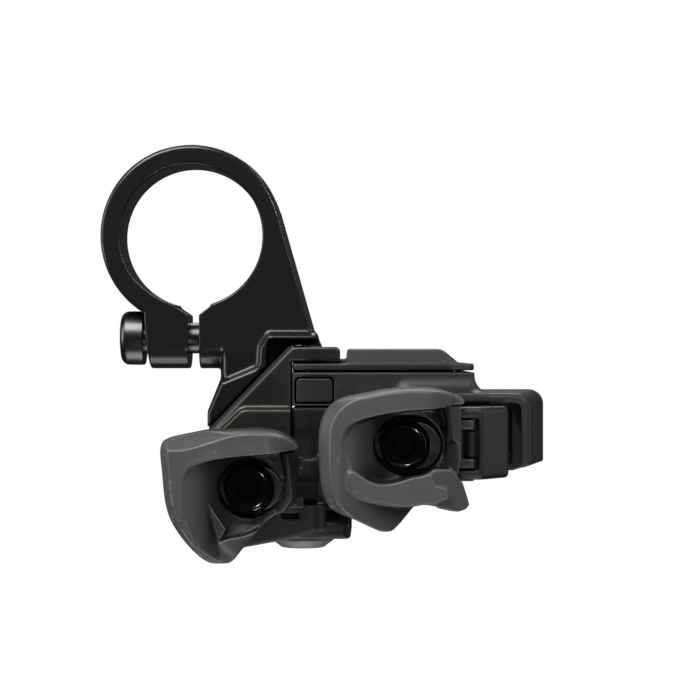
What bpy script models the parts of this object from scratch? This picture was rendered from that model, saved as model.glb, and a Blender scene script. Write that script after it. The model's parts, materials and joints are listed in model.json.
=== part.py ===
"""Electronic shift switch for a flat handlebar, as an assembly of separate solids.

Frame: metres, +Z up. The origin is the centre of the clamp bore, +Y runs along the handlebar
towards the stem, and +X points forwards. A thumb pushes each paddle towards +X, which turns its
lever about a vertical axle.
"""
import math

import bmesh
import bpy
from mathutils import Matrix, Vector

MM = 0.001
ORIGIN = (0, 0, 0)

# Handlebar clamp
BORE_RADIUS = 11.1 * MM
RING_RADIUS = 14.3 * MM
CLAMP_HALF_WIDTH = 5.0 * MM
RING_START = 17.0
RING_END = 234.5
CLAMP_EDGE = 0.45 * MM
EAR_LEFT = -7.4 * MM
PINCH_Z = -16.0 * MM
PINCH_HEAD_X = -11.4 * MM
FOOT_BACK = 10.0 * MM
POCKET_BACK = 0.5 * MM
WEDGE_FRONT = -6.4 * MM
MOUNT_BOLT = Vector((8.6 * MM, 12.6 * MM, -27.2 * MM))

# Adapter between the clamp and the pod
ADAPTER_FRONT = -8.0 * MM
ADAPTER_BACK = 0.2 * MM
ADAPTER_LAYER_FRONT = -9.6 * MM
ADAPTER_LAYER_BACK = -7.5 * MM
TAB_SCREW = Vector((17.2 * MM, -3.0 * MM, 0))
TAB_SCREW_HEAD = Vector((0, 0, -16.95 * MM))

# Pod housing
POD_LEFT = 15.8 * MM
POD_RIGHT = 44.1 * MM
POD_FRONT = -8.0 * MM
POD_BACK = 21.0 * MM
POD_CORNER = 2.5 * MM
UPPER_TOP = -21.35 * MM
UPPER_BOTTOM = -26.55 * MM
LOWER_TOP = -26.8 * MM
LOWER_STEP = -38.2 * MM
LOWER_BOTTOM = -41.5 * MM
AXLE_LUG_HEIGHT = 1.0 * MM

# Hood over the main lever
HOOD_TOP = -24.5 * MM
HOOD_BOTTOM = -36.4 * MM
HOOD_WALL = 1.4 * MM
HOOD_EDGE = 0.8 * MM

# Coin cell bay, under the lid
CELL_CENTRE = Vector((30.5 * MM, 6.5 * MM, 0))
CELL_RADIUS = 10.0 * MM
CELL_THICKNESS = 3.2 * MM
CELL_TOP = -21.9 * MM
SEAL_RADIUS = 11.6 * MM
SEAL_WIRE = 0.42 * MM
SEAL_GROOVE = 0.6 * MM

# Function button in the front of the upper housing
BUTTON_LOW = Vector((16.5 * MM, -8.1 * MM, -26.0 * MM))
BUTTON_HIGH = Vector((22.1 * MM, -6.9 * MM, -22.3 * MM))

# Plungers between the levers and the switches
PLUNGER_RADIUS = 1.2 * MM
PLUNGER_HOLE = 1.35 * MM
MAIN_PLUNGER = Vector((44.0 * MM, 8.0 * MM, -31.5 * MM))
RELEASE_PLUNGER = Vector((16.0 * MM, -4.0 * MM, -38.2 * MM))

# Main lever, on the vertical axle under the hood
MAIN_PIVOT = Vector((47.5 * MM, 2.0 * MM, 0))
MAIN_TOP = -26.9 * MM
MAIN_BOTTOM = -36.9 * MM
MAIN_AXLE_RADIUS = 1.25 * MM
MAIN_AXLE_TOP = -25.2 * MM
MAIN_AXLE_BOTTOM = -38.2 * MM
MAIN_BOLT = Vector((32.7 * MM, -24.1 * MM, -31.9 * MM))

# Release lever, on the vertical axle under the pod
RELEASE_PIVOT = Vector((17.2 * MM, 5.0 * MM, 0))
RELEASE_HUB_RADIUS = 6.8 * MM
RELEASE_HUB_TOP = -42.2 * MM
RELEASE_HUB_BOTTOM = -47.5 * MM
RELEASE_FLANGE_TOP = -43.6 * MM
RELEASE_FLANGE_BOTTOM = -46.2 * MM
RELEASE_BOLT = Vector((9.9 * MM, -24.1 * MM, -38.2 * MM))

# Paddles: both are scoops with a flat back, and slide along X on their levers when the bolt is loose
PADDLE_FRONT = -28.0 * MM
PADDLE_BACK = -18.2 * MM
PADDLE_FLOOR = -20.3 * MM
PADDLE_PLATE_FRONT = -17.9 * MM
PADDLE_PLATE_BACK = -15.3 * MM
MAIN_SLIDE = 0.8 * MM
RELEASE_SLIDE = 1.5 * MM
TAB_FRONT = -19.3 * MM
RELEASE_TAB_FRONT = -18.9 * MM

# Fasteners
M5_SHANK = 2.45 * MM
M4_SHANK = 1.95 * MM
M3_SHANK = 1.4 * MM
M2_SHANK = 0.95 * MM
M2_HOLE = 1.1 * MM
M2_SINK = 1.95 * MM
M2_HEAD = 1.75 * MM
M2_HEX = 1.3 * MM
HOLE_GAP = 0.15 * MM
LID_SCREWS = ((41.6, -5.6), (41.6, 18.6), (18.4, 18.6))
HOUSING_SCREWS = ((18.6, 14.6), (37.9, 18.0), (37.0, -5.4))

SOFT_EDGE = 0.4 * MM
SIDES = 24
SMALL_SIDES = 12

# Outlines, sections and plans in millimetres: each corner is (x, y) or (x, y, radius)
ARM_OUTLINE = [
    (-7.4, -13.2), (-7.4, -20.8, 1.2), (4.7, -20.8), (4.7, -23.1, 0.8), (11.4, -20.7),
    (15.3, -20.7), (15.3, -19.3), (20.4, -19.3), (20.4, -17.6), (19.65, -16.65),
]
SLOT_OUTLINE = [
    (-0.52, -22.0), (1.18, -22.0), (1.18, -12.4), (2.7, -10.5), (-2.05, -10.5), (-0.52, -12.4),
]
FOOT_OUTLINE = [
    (4.2, -21.0), (15.2, -21.0), (15.2, -31.2, 1.0), (2.4, -31.2, 1.0), (1.8, -27.6), (4.2, -22.6),
]
WEDGE_OUTLINE = [
    (2.0, -27.6), (4.3, -22.8), (10.7, -20.6), (11.0, -17.4), (12.3, -15.7), (19.4, -15.7),
    (19.9, -17.1), (14.9, -17.1), (2.3, -30.1),
]
ADAPTER_OUTLINE = [
    (15.2, -17.4), (23.25, -17.4, 0.8), (23.25, -19.7), (15.55, -19.7), (15.55, -32.5),
    (3.4, -32.5, 0.6), (2.5, -30.5, 0.4),
]
ADAPTER_LAYER_OUTLINE = [
    (8.2, -27.0, 1.2), (15.55, -27.0), (15.55, -32.2), (4.6, -32.2, 0.5), (4.4, -30.6, 0.5),
]
LID_SECTION = [
    (15.8, -21.05), (44.1, -21.05), (44.1, -20.05), (41.8, -19.85), (39.1, -17.7),
    (24.4, -17.7, 0.3), (24.1, -20.0), (15.8, -20.0),
]
HOOD_PLAN = [
    (41.4, -12.0, 0.6), (51.7, -12.0, 1.6), (58.2, 21.0, 2.8), (43.0, 21.0), (43.0, -7.0), (41.4, -7.5),
]
HOOD_ROOM_PLAN = [(43.2, -7.7), (40.0, -7.7), (40.0, -14.0), (50.0, -14.0), (56.4, 19.5), (43.2, 19.5)]
LOWER_BASE_PLAN = [(15.9, -7.9, 0.6), (41.0, -7.9, 0.6), (41.0, 20.9, 2.5), (15.9, 20.9, 2.5)]
AXLE_LUG_PLAN = [(43.0, -0.8), (49.6, -0.8, 2.0), (49.6, 4.8, 2.0), (43.0, 4.8)]
MAIN_LEVER_PLAN = [
    (40.8, -19.5), (44.5, -19.5, 0.9), (51.2, 6.0, 2.0), (49.8, 10.0, 1.2), (45.6, 10.0, 0.5),
    (45.6, 4.5), (44.7, 3.0), (44.7, -8.6), (40.8, -8.6),
]
MAIN_CHANNEL_PLAN = [(39.5, -15.3), (44.2, -15.3), (46.0, -8.0), (39.5, -8.0)]
MAIN_PADDLE_OUTLINE = [
    (20.1, -28.9, 2.0), (22.3, -25.6, 2.0), (25.5, -24.5, 4.0), (32.0, -23.3, 6.0), (37.5, -23.3, 2.0),
    (41.4, -25.2, 0.4), (40.5, -26.4), (40.5, -36.7), (41.9, -37.5, 0.4), (42.5, -40.2, 0.5),
    (41.9, -41.3, 0.5), (39.2, -41.5, 1.5), (35.3, -40.8, 1.0), (34.1, -41.1, 1.0), (32.1, -43.6, 1.2),
    (30.0, -44.5, 1.0), (26.7, -43.6, 2.0), (22.3, -40.7, 2.5), (20.7, -36.7, 3.0),
]
MAIN_SCOOP_OUTLINE = [
    (42.5, -25.6), (39.2, -26.0, 1.0), (32.0, -26.9, 5.0), (27.1, -28.3, 3.0), (23.8, -31.0, 1.5),
    (24.6, -35.0, 1.5), (27.9, -37.3, 2.0), (32.5, -37.2, 4.0), (38.1, -34.4, 1.0), (38.8, -36.6),
    (42.5, -37.2),
]
RELEASE_LEVER_PLAN = [
    (9.6, -17.4), (24.9, -17.4, 1.4), (25.1, -3.0, 3.0), (23.6, 4.0), (10.8, 4.0), (9.6, -2.0),
]
RELEASE_FRONT_OUTLINE = [
    (5.0, -35.0, 1.5), (19.9, -34.0), (19.9, -45.0), (16.3, -46.1), (8.6, -47.6, 0.8), (5.0, -44.0, 1.0),
]
RELEASE_PADDLE_OUTLINE = [
    (-2.9, -31.9, 0.8), (-1.5, -30.6, 0.8), (3.8, -29.6, 3.0), (12.4, -29.4, 3.0), (14.6, -29.6, 1.5),
    (17.4, -31.6, 0.4), (16.9, -33.0), (16.9, -41.6, 0.5), (12.0, -44.0, 1.0), (9.2, -46.8, 0.8),
    (7.2, -49.1, 0.6), (4.4, -49.1, 1.0), (1.8, -47.4, 1.5), (-0.2, -44.8, 3.0), (-2.2, -39.5, 3.0),
    (-2.9, -34.7, 2.0),
]
RELEASE_SCOOP_OUTLINE = [
    (18.5, -32.4), (15.9, -32.6, 0.5), (12.4, -33.4, 1.5), (3.9, -34.3, 2.5), (0.4, -36.1, 1.0),
    (1.4, -43.4, 2.0), (6.6, -48.4, 0.5), (9.0, -50.5), (18.5, -50.5),
]

# Half section of the cap under the release axle: (radius, station)
CAP_PROFILE = [
    (0.0, -49.0), (2.0, -49.0), (2.0, -47.8), (5.0, -47.8), (5.1, -48.0), (5.1, -48.6), (3.8, -49.5),
    (3.4, -49.6), (0.0, -49.6),
]


def mm(x, y, z):
    """Point given in millimetres."""
    return Vector((x, y, z)) * MM


def remove_scene_objects():
    """Empty the scene, so the script always starts from nothing."""
    for obj in list(bpy.data.objects):
        bpy.data.objects.remove(obj, do_unlink=True)


def new_collection(name):
    """Make a collection in the scene."""
    group = bpy.data.collections.new(name)
    bpy.context.scene.collection.children.link(group)
    return group


remove_scene_objects()
PARTS = new_collection("shift_switch")
CUTTERS = new_collection("cutters")


def make_material(name, colour, roughness, metallic):
    """Principled material of one colour."""
    mat = bpy.data.materials.new(name)
    mat.use_nodes = True
    shader = mat.node_tree.nodes["Principled BSDF"]
    shader.inputs["Base Color"].default_value = (*colour, 1.0)
    shader.inputs["Roughness"].default_value = roughness
    shader.inputs["Metallic"].default_value = metallic
    return mat


def add_mesh_object(name, mesh, group=CUTTERS):
    """Object for a mesh; a cutter until it is finished as a part."""
    obj = bpy.data.objects.new(name, mesh)
    group.objects.link(obj)
    if group is CUTTERS:
        obj.hide_render = True
        obj.display_type = "WIRE"
    return obj


def shade(mesh, angle=40):
    """Smooth round faces, and keep edges sharper than the angle."""
    mesh.shade_smooth()
    mesh.set_sharp_from_angle(angle=math.radians(angle))


def finish(obj, colour, roughness, metallic, parent=None):
    """Make a part of a shape: its material, its collection and its parent joint."""
    CUTTERS.objects.unlink(obj)
    PARTS.objects.link(obj)
    obj.hide_render = False
    obj.display_type = "TEXTURED"
    obj.data.materials.append(make_material(obj.name, colour, roughness, metallic))
    if parent is not None:
        obj.parent = parent
        obj.matrix_parent_inverse = Matrix.Translation(-parent.location)
    return obj


def joint_axis(name, place):
    """Empty on a joint's axis, which the moving pieces hang on."""
    empty = bpy.data.objects.new(name, None)
    empty.location = place
    PARTS.objects.link(empty)
    return empty


def box(name, low, high):
    """Box between two corners, placed by its centre."""
    low = Vector(low)
    high = Vector(high)
    body = bmesh.new()
    bmesh.ops.create_cube(body, size=1.0)
    bmesh.ops.scale(body, vec=high - low, verts=body.verts)
    mesh = bpy.data.meshes.new(name)
    body.to_mesh(mesh)
    body.free()
    obj = add_mesh_object(name, mesh)
    obj.location = (low + high) / 2
    return obj


AXIS_TURN = {
    "X": Matrix.Rotation(math.radians(90), 4, "Y"),
    "Y": Matrix.Rotation(math.radians(-90), 4, "X"),
    "Z": Matrix.Identity(4),
}


def cylinder(name, radius, centre, start, end, axis="Z", sides=SIDES, end_radius=None):
    """Cylinder or cone between two stations along an axis, through a centre."""
    body = bmesh.new()
    bmesh.ops.create_cone(body, cap_ends=True, segments=sides, radius1=radius,
                          radius2=radius if end_radius is None else end_radius, depth=end - start)
    bmesh.ops.rotate(body, matrix=AXIS_TURN[axis].to_3x3(), verts=body.verts)
    mesh = bpy.data.meshes.new(name)
    body.to_mesh(mesh)
    body.free()
    shade(mesh)
    obj = add_mesh_object(name, mesh)
    place = Vector(centre)
    place["XYZ".index(axis)] = (start + end) / 2
    obj.location = place
    return obj


def arc(centre, radius, start, end, steps):
    """Points of an arc, from one angle to another in degrees."""
    points = []
    for step in range(steps + 1):
        angle = math.radians(start + (end - start) * step / steps)
        points.append((centre[0] + radius * math.cos(angle), centre[1] + radius * math.sin(angle)))
    return points


def rounded(corners, steps=3):
    """Outline from corners in millimetres, each (x, y) or (x, y, radius), with the radii as arcs."""
    outline = []
    for index, corner in enumerate(corners):
        point = Vector(corner[:2]) * MM
        radius = corner[2] * MM if len(corner) > 2 else 0.0
        if radius == 0.0:
            outline.append(tuple(point))
            continue
        back = (Vector(corners[index - 1][:2]) * MM - point).normalized()
        ahead = (Vector(corners[(index + 1) % len(corners)][:2]) * MM - point).normalized()
        half = back.angle(ahead) / 2
        reach = radius / math.tan(half)
        centre = point + (back + ahead).normalized() * (radius / math.sin(half))
        first = point + back * reach - centre
        sweep = (point + ahead * reach - centre).angle_signed(first)
        for step in range(steps + 1):
            turned = Matrix.Rotation(sweep * step / steps, 2) @ first
            outline.append(tuple(centre + turned))
    return outline


PLANE_TURN = {
    "XY": Matrix.Identity(4),
    "XZ": Matrix.Rotation(math.radians(90), 4, "X"),
}


def mesh_of_curve(source):
    """Turn a curve object into a mesh object with welded caps, in the same place."""
    bpy.context.view_layer.update()
    mesh = bpy.data.meshes.new_from_object(source.evaluated_get(bpy.context.evaluated_depsgraph_get()))
    body = bmesh.new()
    body.from_mesh(mesh)
    bmesh.ops.remove_doubles(body, verts=body.verts, dist=0.001 * MM)
    bmesh.ops.recalc_face_normals(body, faces=body.faces)
    body.to_mesh(mesh)
    body.free()
    shade(mesh)
    matrix = source.matrix_world.copy()
    name = source.name
    bpy.data.objects.remove(source)
    obj = add_mesh_object(name, mesh)
    obj.matrix_world = matrix
    return obj


def plate(name, outline, low, high, plane="XZ"):
    """Flat outline of metres, filled and given a thickness between two stations across its plane."""
    curve = bpy.data.curves.new(name, "CURVE")
    curve.dimensions = "2D"
    curve.fill_mode = "BOTH"
    curve.extrude = (high - low) / 2
    spline = curve.splines.new("POLY")
    spline.points.add(len(outline) - 1)
    for point, place in zip(spline.points, outline):
        point.co = (place[0], place[1], 0, 1)
    spline.use_cyclic_u = True
    source = bpy.data.objects.new(name, curve)
    CUTTERS.objects.link(source)
    middle = (low + high) / 2
    offset = Vector((0, 0, middle)) if plane == "XY" else Vector((0, middle, 0))
    source.matrix_world = Matrix.Translation(offset) @ PLANE_TURN[plane]
    return mesh_of_curve(source)


def bevel(obj, width, segments=1, angle=35):
    """Round the edges that are sharper than the angle."""
    modifier = obj.modifiers.new("bevel", "BEVEL")
    modifier.width = width
    modifier.segments = segments
    modifier.limit_method = "ANGLE"
    modifier.angle_limit = math.radians(angle)
    return obj


def combine(obj, other, operation):
    """Boolean of a shape with another one, which becomes a cutter."""
    modifier = obj.modifiers.new(operation.lower(), "BOOLEAN")
    modifier.operation = operation
    modifier.object = other
    modifier.solver = "EXACT"
    return obj


def cut(obj, *cutters):
    """Take shapes away from a shape."""
    for cutter in cutters:
        combine(obj, cutter, "DIFFERENCE")
    return obj


def join(obj, *others):
    """Add shapes to a shape."""
    for other in others:
        combine(obj, other, "UNION")
    return obj


def turned(name, profile, axis, centre, sides=SIDES, closed=False):
    """Turned piece: a profile of (radius, station) down its outer side, from the highest station."""
    mesh = bpy.data.meshes.new(name)
    rim = [(radius, 0.0, station) for radius, station in profile]
    edges = [(index, index + 1) for index in range(len(rim) - 1)]
    if closed:
        edges.append((len(rim) - 1, 0))
    mesh.from_pydata(rim, edges, [])
    obj = add_mesh_object(name, mesh)
    screw = obj.modifiers.new("turn", "SCREW")
    screw.axis = "Z"
    screw.steps = sides
    screw.render_steps = sides
    screw.use_merge_vertices = True
    screw.merge_threshold = 0.001 * MM
    screw.use_smooth_shade = False
    obj.matrix_world = Matrix.Translation(Vector(centre)) @ AXIS_TURN[axis]
    return obj


def socket_screw(name, head_radius, head_height, shank_radius, length, centre, axis, hex_flat, sides=SIDES):
    """Cap screw whose head's top is at the centre and whose shank runs down the local axis."""
    profile = [
        (0.0, 0.0),
        (head_radius, 0.0),
        (head_radius, -head_height),
        (shank_radius, -head_height),
        (shank_radius, -head_height - length),
        (0.0, -head_height - length),
    ]
    screw = turned(name, profile, axis, centre, sides)
    depth = 0.55 * head_height
    hexagon = cylinder(name + "_hex", hex_flat / math.sqrt(3), (0, 0, 0), -depth, depth, "Z", 6)
    hexagon.matrix_world = screw.matrix_world.copy()
    return cut(screw, hexagon)


def put_screw(screw, place):
    """Place a socket screw together with the cutter of its hexagon."""
    screw.matrix_world = place
    bpy.data.objects[screw.name + "_hex"].matrix_world = place


def ring(name, outer, inner, centre, start, end, sides=SIDES):
    """Plain tube along Z."""
    profile = [(inner, end), (outer, end), (outer, start), (inner, start)]
    return turned(name, profile, "Z", (centre[0], centre[1], 0), sides, closed=True)


def coil(name, radius, wire, centre, bottom, pitch, turns, leg):
    """Torsion spring about Z: a wire helix with two straight legs."""
    steps = 10
    points = [Vector((radius, -leg, bottom))]
    for step in range(int(turns * steps) + 1):
        angle = 2 * math.pi * step / steps
        height = bottom + pitch * step / steps
        points.append(Vector((radius * math.cos(angle), radius * math.sin(angle), height)))
    last = points[-1]
    along = Vector((-last.y, last.x, 0)).normalized()
    points.append(last + along * leg)
    curve = bpy.data.curves.new(name, "CURVE")
    curve.dimensions = "3D"
    curve.bevel_depth = wire
    curve.bevel_resolution = 1
    curve.use_fill_caps = True
    spline = curve.splines.new("POLY")
    spline.points.add(len(points) - 1)
    for point, place in zip(spline.points, points):
        point.co = (*place, 1)
    source = bpy.data.objects.new(name, curve)
    CUTTERS.objects.link(source)
    source.location = (centre[0], centre[1], 0)
    return mesh_of_curve(source)


# Colours: (base colour, roughness, metallic)
GLOSS_BLACK = ((0.012, 0.012, 0.013), 0.28, 0.6)
WARM_BLACK = ((0.025, 0.023, 0.021), 0.38, 0.5)
BLACK_STEEL = ((0.02, 0.02, 0.02), 0.25, 0.9)
HOUSING_GREY = ((0.03, 0.03, 0.032), 0.5, 0.0)
LID_GREY = ((0.04, 0.041, 0.045), 0.5, 0.0)
PADDLE_GREY = ((0.075, 0.075, 0.076), 0.6, 0.0)
LEVER_BLACK = ((0.022, 0.022, 0.023), 0.45, 0.2)
SATIN_GREY = ((0.15, 0.15, 0.15), 0.4, 0.7)
RUBBER = ((0.01, 0.01, 0.01), 0.8, 0.0)
BOARD_GREEN = ((0.01, 0.08, 0.03), 0.5, 0.0)
STEEL = ((0.5, 0.5, 0.5), 0.3, 1.0)
BRONZE = ((0.35, 0.22, 0.1), 0.4, 1.0)


def make_clamp():
    """Split ring, its two ears, the arm down to the pod and the foot that the adapter bolts to."""
    outline = arc((0, 0), RING_RADIUS, RING_START, RING_END, 30)
    outline += rounded(ARM_OUTLINE)
    body = plate("clamp_bracket", outline, -CLAMP_HALF_WIDTH, CLAMP_HALF_WIDTH)
    bevel(body, CLAMP_EDGE)
    foot = plate("clamp_foot", rounded(FOOT_OUTLINE), POCKET_BACK + 0.1 * MM, FOOT_BACK)
    bevel(foot, SOFT_EDGE)
    wedge = plate("clamp_wedge", rounded(WEDGE_OUTLINE), WEDGE_FRONT, POCKET_BACK + 0.2 * MM)
    pocket = box("clamp_pocket", mm(11.8, -7, -22), (21.5 * MM, POCKET_BACK, -16.2 * MM))
    bore = cylinder("clamp_bore", BORE_RADIUS, (0, 0, 0), -6 * MM, 6 * MM, "Y", 40)
    slot = plate("clamp_slot", rounded(SLOT_OUTLINE), -6 * MM, 6 * MM)
    pinch_hole = cylinder("pinch_hole", M5_SHANK + HOLE_GAP, (0, 0, PINCH_Z), -9 * MM, 5.3 * MM, "X")
    seat = cylinder("pinch_seat", 4.6 * MM, (0, 0, PINCH_Z), -13 * MM, EAR_LEFT - 0.1 * MM, "X")
    bolt_hole = cylinder("mount_hole", M4_SHANK + HOLE_GAP, MOUNT_BOLT, 0, 11 * MM, "Y")
    join(body, foot, wedge)
    cut(body, pocket, bore, slot, seat, pinch_hole, bolt_hole)
    finish(body, *GLOSS_BLACK)
    bolt = socket_screw("clamp_bolt", 4.25 * MM, 3.7 * MM, M5_SHANK, 12.6 * MM, ORIGIN, "Z", 4.0 * MM)
    place = Matrix.Translation((PINCH_HEAD_X, 0, PINCH_Z)) @ Matrix.Rotation(math.radians(-90), 4, "Y")
    put_screw(bolt, place)
    finish(bolt, *BLACK_STEEL)


def make_adapter():
    """Warm black plate between the clamp's foot and the pod, with a tab over the pod's corner."""
    body = plate("mount_adapter", rounded(ADAPTER_OUTLINE), ADAPTER_FRONT, ADAPTER_BACK)
    bevel(body, SOFT_EDGE)
    layer = plate("adapter_layer", rounded(ADAPTER_LAYER_OUTLINE), ADAPTER_LAYER_FRONT, ADAPTER_LAYER_BACK)
    sink = cylinder("tab_sink", 2.8 * MM, TAB_SCREW, -18.6 * MM, -17 * MM)
    hole = cylinder("tab_hole", M3_SHANK + HOLE_GAP, TAB_SCREW, -21 * MM, -17 * MM, "Z", SMALL_SIDES)
    thread = cylinder("adapter_thread", M4_SHANK + HOLE_GAP, MOUNT_BOLT, -6 * MM, 1 * MM, "Y")
    join(body, layer)
    cut(body, sink, hole, thread)
    finish(body, *WARM_BLACK)
    screw = socket_screw("adapter_screw", 2.6 * MM, 1.4 * MM, M3_SHANK, 6.5 * MM,
                         TAB_SCREW + TAB_SCREW_HEAD, "Z", 2.0 * MM, SMALL_SIDES)
    finish(screw, *BLACK_STEEL)
    bolt = socket_screw("mounting_bolt", 3.5 * MM, 2.4 * MM, M4_SHANK, 15.0 * MM, MOUNT_BOLT, "Y", 2.5 * MM)
    finish(bolt, *BLACK_STEEL)


def pod_plan(inset=0.0):
    """Plan of the pod, with rounded corners at the back."""
    left = POD_LEFT / MM + inset
    right = POD_RIGHT / MM - inset
    front = POD_FRONT / MM + inset
    back = POD_BACK / MM - inset
    corner = POD_CORNER / MM
    return rounded([(left, front, 0.6), (right, front, 0.6), (right, back, corner), (left, back, corner)])


def make_lid():
    """Battery lid with a raised plate, its seal and its three screws."""
    body = plate("lid", rounded(LID_SECTION), POD_FRONT - 1 * MM, POD_BACK + 1 * MM)
    outer = plate("lid_plan", pod_plan(), -24 * MM, -16 * MM, "XY")
    combine(body, outer, "INTERSECT")
    hollow = box("lid_hollow", mm(25.6, -6.4, -22), mm(38.6, 19.4, -18.9))
    corner_hole = cylinder("lid_corner_hole", M3_SHANK + HOLE_GAP, TAB_SCREW, -22 * MM, -19 * MM, "Z",
                           SMALL_SIDES)
    cut(body, hollow, corner_hole)
    for index, (across, along) in enumerate(LID_SCREWS):
        place = mm(across, along, -19.95)
        label = f"lid_screw_{index + 1}"
        hole = cylinder(label + "_hole", M2_HOLE, place, -22 * MM, -19 * MM, "Z", SMALL_SIDES)
        sink = cylinder(label + "_sink", M2_SINK, place, -20.6 * MM, -18 * MM, "Z", SMALL_SIDES)
        cut(body, hole, sink)
        screw = socket_screw(label, M2_HEAD, 0.55 * MM, M2_SHANK, 2.9 * MM, place, "Z", M2_HEX, SMALL_SIDES)
        finish(screw, *BLACK_STEEL)
    finish(body, *LID_GREY)
    bpy.ops.mesh.primitive_torus_add(major_radius=SEAL_RADIUS, minor_radius=SEAL_WIRE, major_segments=32,
                                     minor_segments=6, location=(CELL_CENTRE.x, CELL_CENTRE.y, -21.75 * MM))
    seal = bpy.context.object
    seal.name = "lid_seal"
    for group in list(seal.users_collection):
        group.objects.unlink(seal)
    CUTTERS.objects.link(seal)
    finish(seal, *RUBBER)


def make_upper_housing():
    """Battery bay of the pod, in one piece with the hood that covers the main lever."""
    body = plate("housing_upper", pod_plan(), UPPER_BOTTOM, UPPER_TOP, "XY")
    hood = plate("hood", rounded(HOOD_PLAN), HOOD_BOTTOM, HOOD_TOP, "XY")
    bevel(hood, HOOD_EDGE, 2)
    room = plate("hood_room", rounded(HOOD_ROOM_PLAN), -38 * MM, HOOD_TOP - HOOD_WALL, "XY")
    step = box("hood_step", mm(41.0, -13, -38), (44.4 * MM, 22 * MM, UPPER_BOTTOM))
    join(body, hood)
    cut(body, room, step)
    keep = plate("housing_keep", pod_plan(0.05), UPPER_BOTTOM, -25.0 * MM, "XY")
    join(body, keep)
    bay = cylinder("cell_bay", CELL_RADIUS + 0.3 * MM, CELL_CENTRE, -26.0 * MM, -20 * MM)
    groove = ring("seal_groove", SEAL_RADIUS + SEAL_GROOVE, SEAL_RADIUS - SEAL_GROOVE, CELL_CENTRE,
                  -22.5 * MM, -21 * MM)
    contact_slot = box("contact_slot", mm(28.5, 12, -27), mm(32.5, 14, -25))
    pocket = box("button_pocket", BUTTON_LOW - Vector((0.25, 1, 0.25)) * MM,
                 BUTTON_HIGH + Vector((0.25, 2.4, 0.25)) * MM)
    axle_hole = cylinder("hood_axle_hole", 1.4 * MM, MAIN_PIVOT, -27 * MM, -25.0 * MM, "Z", SMALL_SIDES)
    corner_hole = cylinder("corner_hole", M3_SHANK + HOLE_GAP, TAB_SCREW, -25.4 * MM, -20 * MM, "Z",
                           SMALL_SIDES)
    cut(body, bay, groove, contact_slot, pocket, axle_hole, corner_hole)
    for index, (across, along) in enumerate(LID_SCREWS):
        label = f"lid_thread_{index + 1}"
        cut(body, cylinder(label, M2_HOLE, mm(across, along, 0), -23.8 * MM, -20 * MM, "Z", SMALL_SIDES))
    for index, (across, along) in enumerate(HOUSING_SCREWS):
        label = f"upper_thread_{index + 1}"
        cut(body, cylinder(label, M2_HOLE, mm(across, along, 0), -28 * MM, -23 * MM, "Z", SMALL_SIDES))
    finish(body, *HOUSING_GREY)


def make_lower_housing():
    """Electronics bay of the pod, with the main axle's lower lug, and its three screws."""
    body = plate("housing_lower", pod_plan(), LOWER_STEP, LOWER_TOP, "XY")
    base = plate("lower_base", rounded(LOWER_BASE_PLAN, 2), LOWER_BOTTOM, LOWER_STEP + 0.1 * MM, "XY")
    lug = plate("axle_lug", rounded(AXLE_LUG_PLAN), LOWER_STEP, LOWER_STEP + AXLE_LUG_HEIGHT, "XY")
    join(body, base, lug)
    room = box("lower_room", mm(17.3, -6.5, -37.2), mm(42.6, 19.5, -26))
    deep_room = box("lower_deep_room", mm(17.3, -6.5, -40.0), mm(39.5, 19.5, -37))
    cut(body, room, deep_room)
    boss = cylinder("release_boss", 3.8 * MM, RELEASE_PIVOT, -40.5 * MM, -36.8 * MM)
    keep = box("release_boss_keep", mm(16.0, 1, -40.6), mm(22, 9, -36.7))
    combine(boss, keep, "INTERSECT")
    join(body, boss)
    cut(body,
        cylinder("release_axle_hole", 1.9 * MM, RELEASE_PIVOT, -42 * MM, -36 * MM, "Z", SMALL_SIDES),
        cylinder("lug_axle_hole", 1.4 * MM, MAIN_PIVOT, -39 * MM, -36.5 * MM, "Z", SMALL_SIDES),
        cylinder("main_plunger_hole", PLUNGER_HOLE, MAIN_PLUNGER, 42 * MM, 45 * MM, "X", SMALL_SIDES),
        cylinder("release_plunger_hole", PLUNGER_HOLE, RELEASE_PLUNGER, 15 * MM, 18 * MM, "X", SMALL_SIDES))
    for index, (across, along) in enumerate(HOUSING_SCREWS):
        place = mm(across, along, 0)
        label = f"housing_screw_{index + 1}"
        hole = cylinder(label + "_hole", M2_HOLE, place, -42 * MM, -39 * MM, "Z", SMALL_SIDES)
        sink = cylinder(label + "_sink", M2_SINK, place, -42 * MM, LOWER_BOTTOM + 1.0 * MM, "Z", SMALL_SIDES)
        cut(body, hole, sink)
        screw = socket_screw(label, M2_HEAD, 0.7 * MM, M2_SHANK, 17.0 * MM, ORIGIN, "Z", M2_HEX, SMALL_SIDES)
        place.z = LOWER_BOTTOM + 0.1 * MM
        put_screw(screw, Matrix.Translation(place) @ Matrix.Rotation(math.pi, 4, "X"))
        finish(screw, *BLACK_STEEL)
    finish(body, *HOUSING_GREY)


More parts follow.
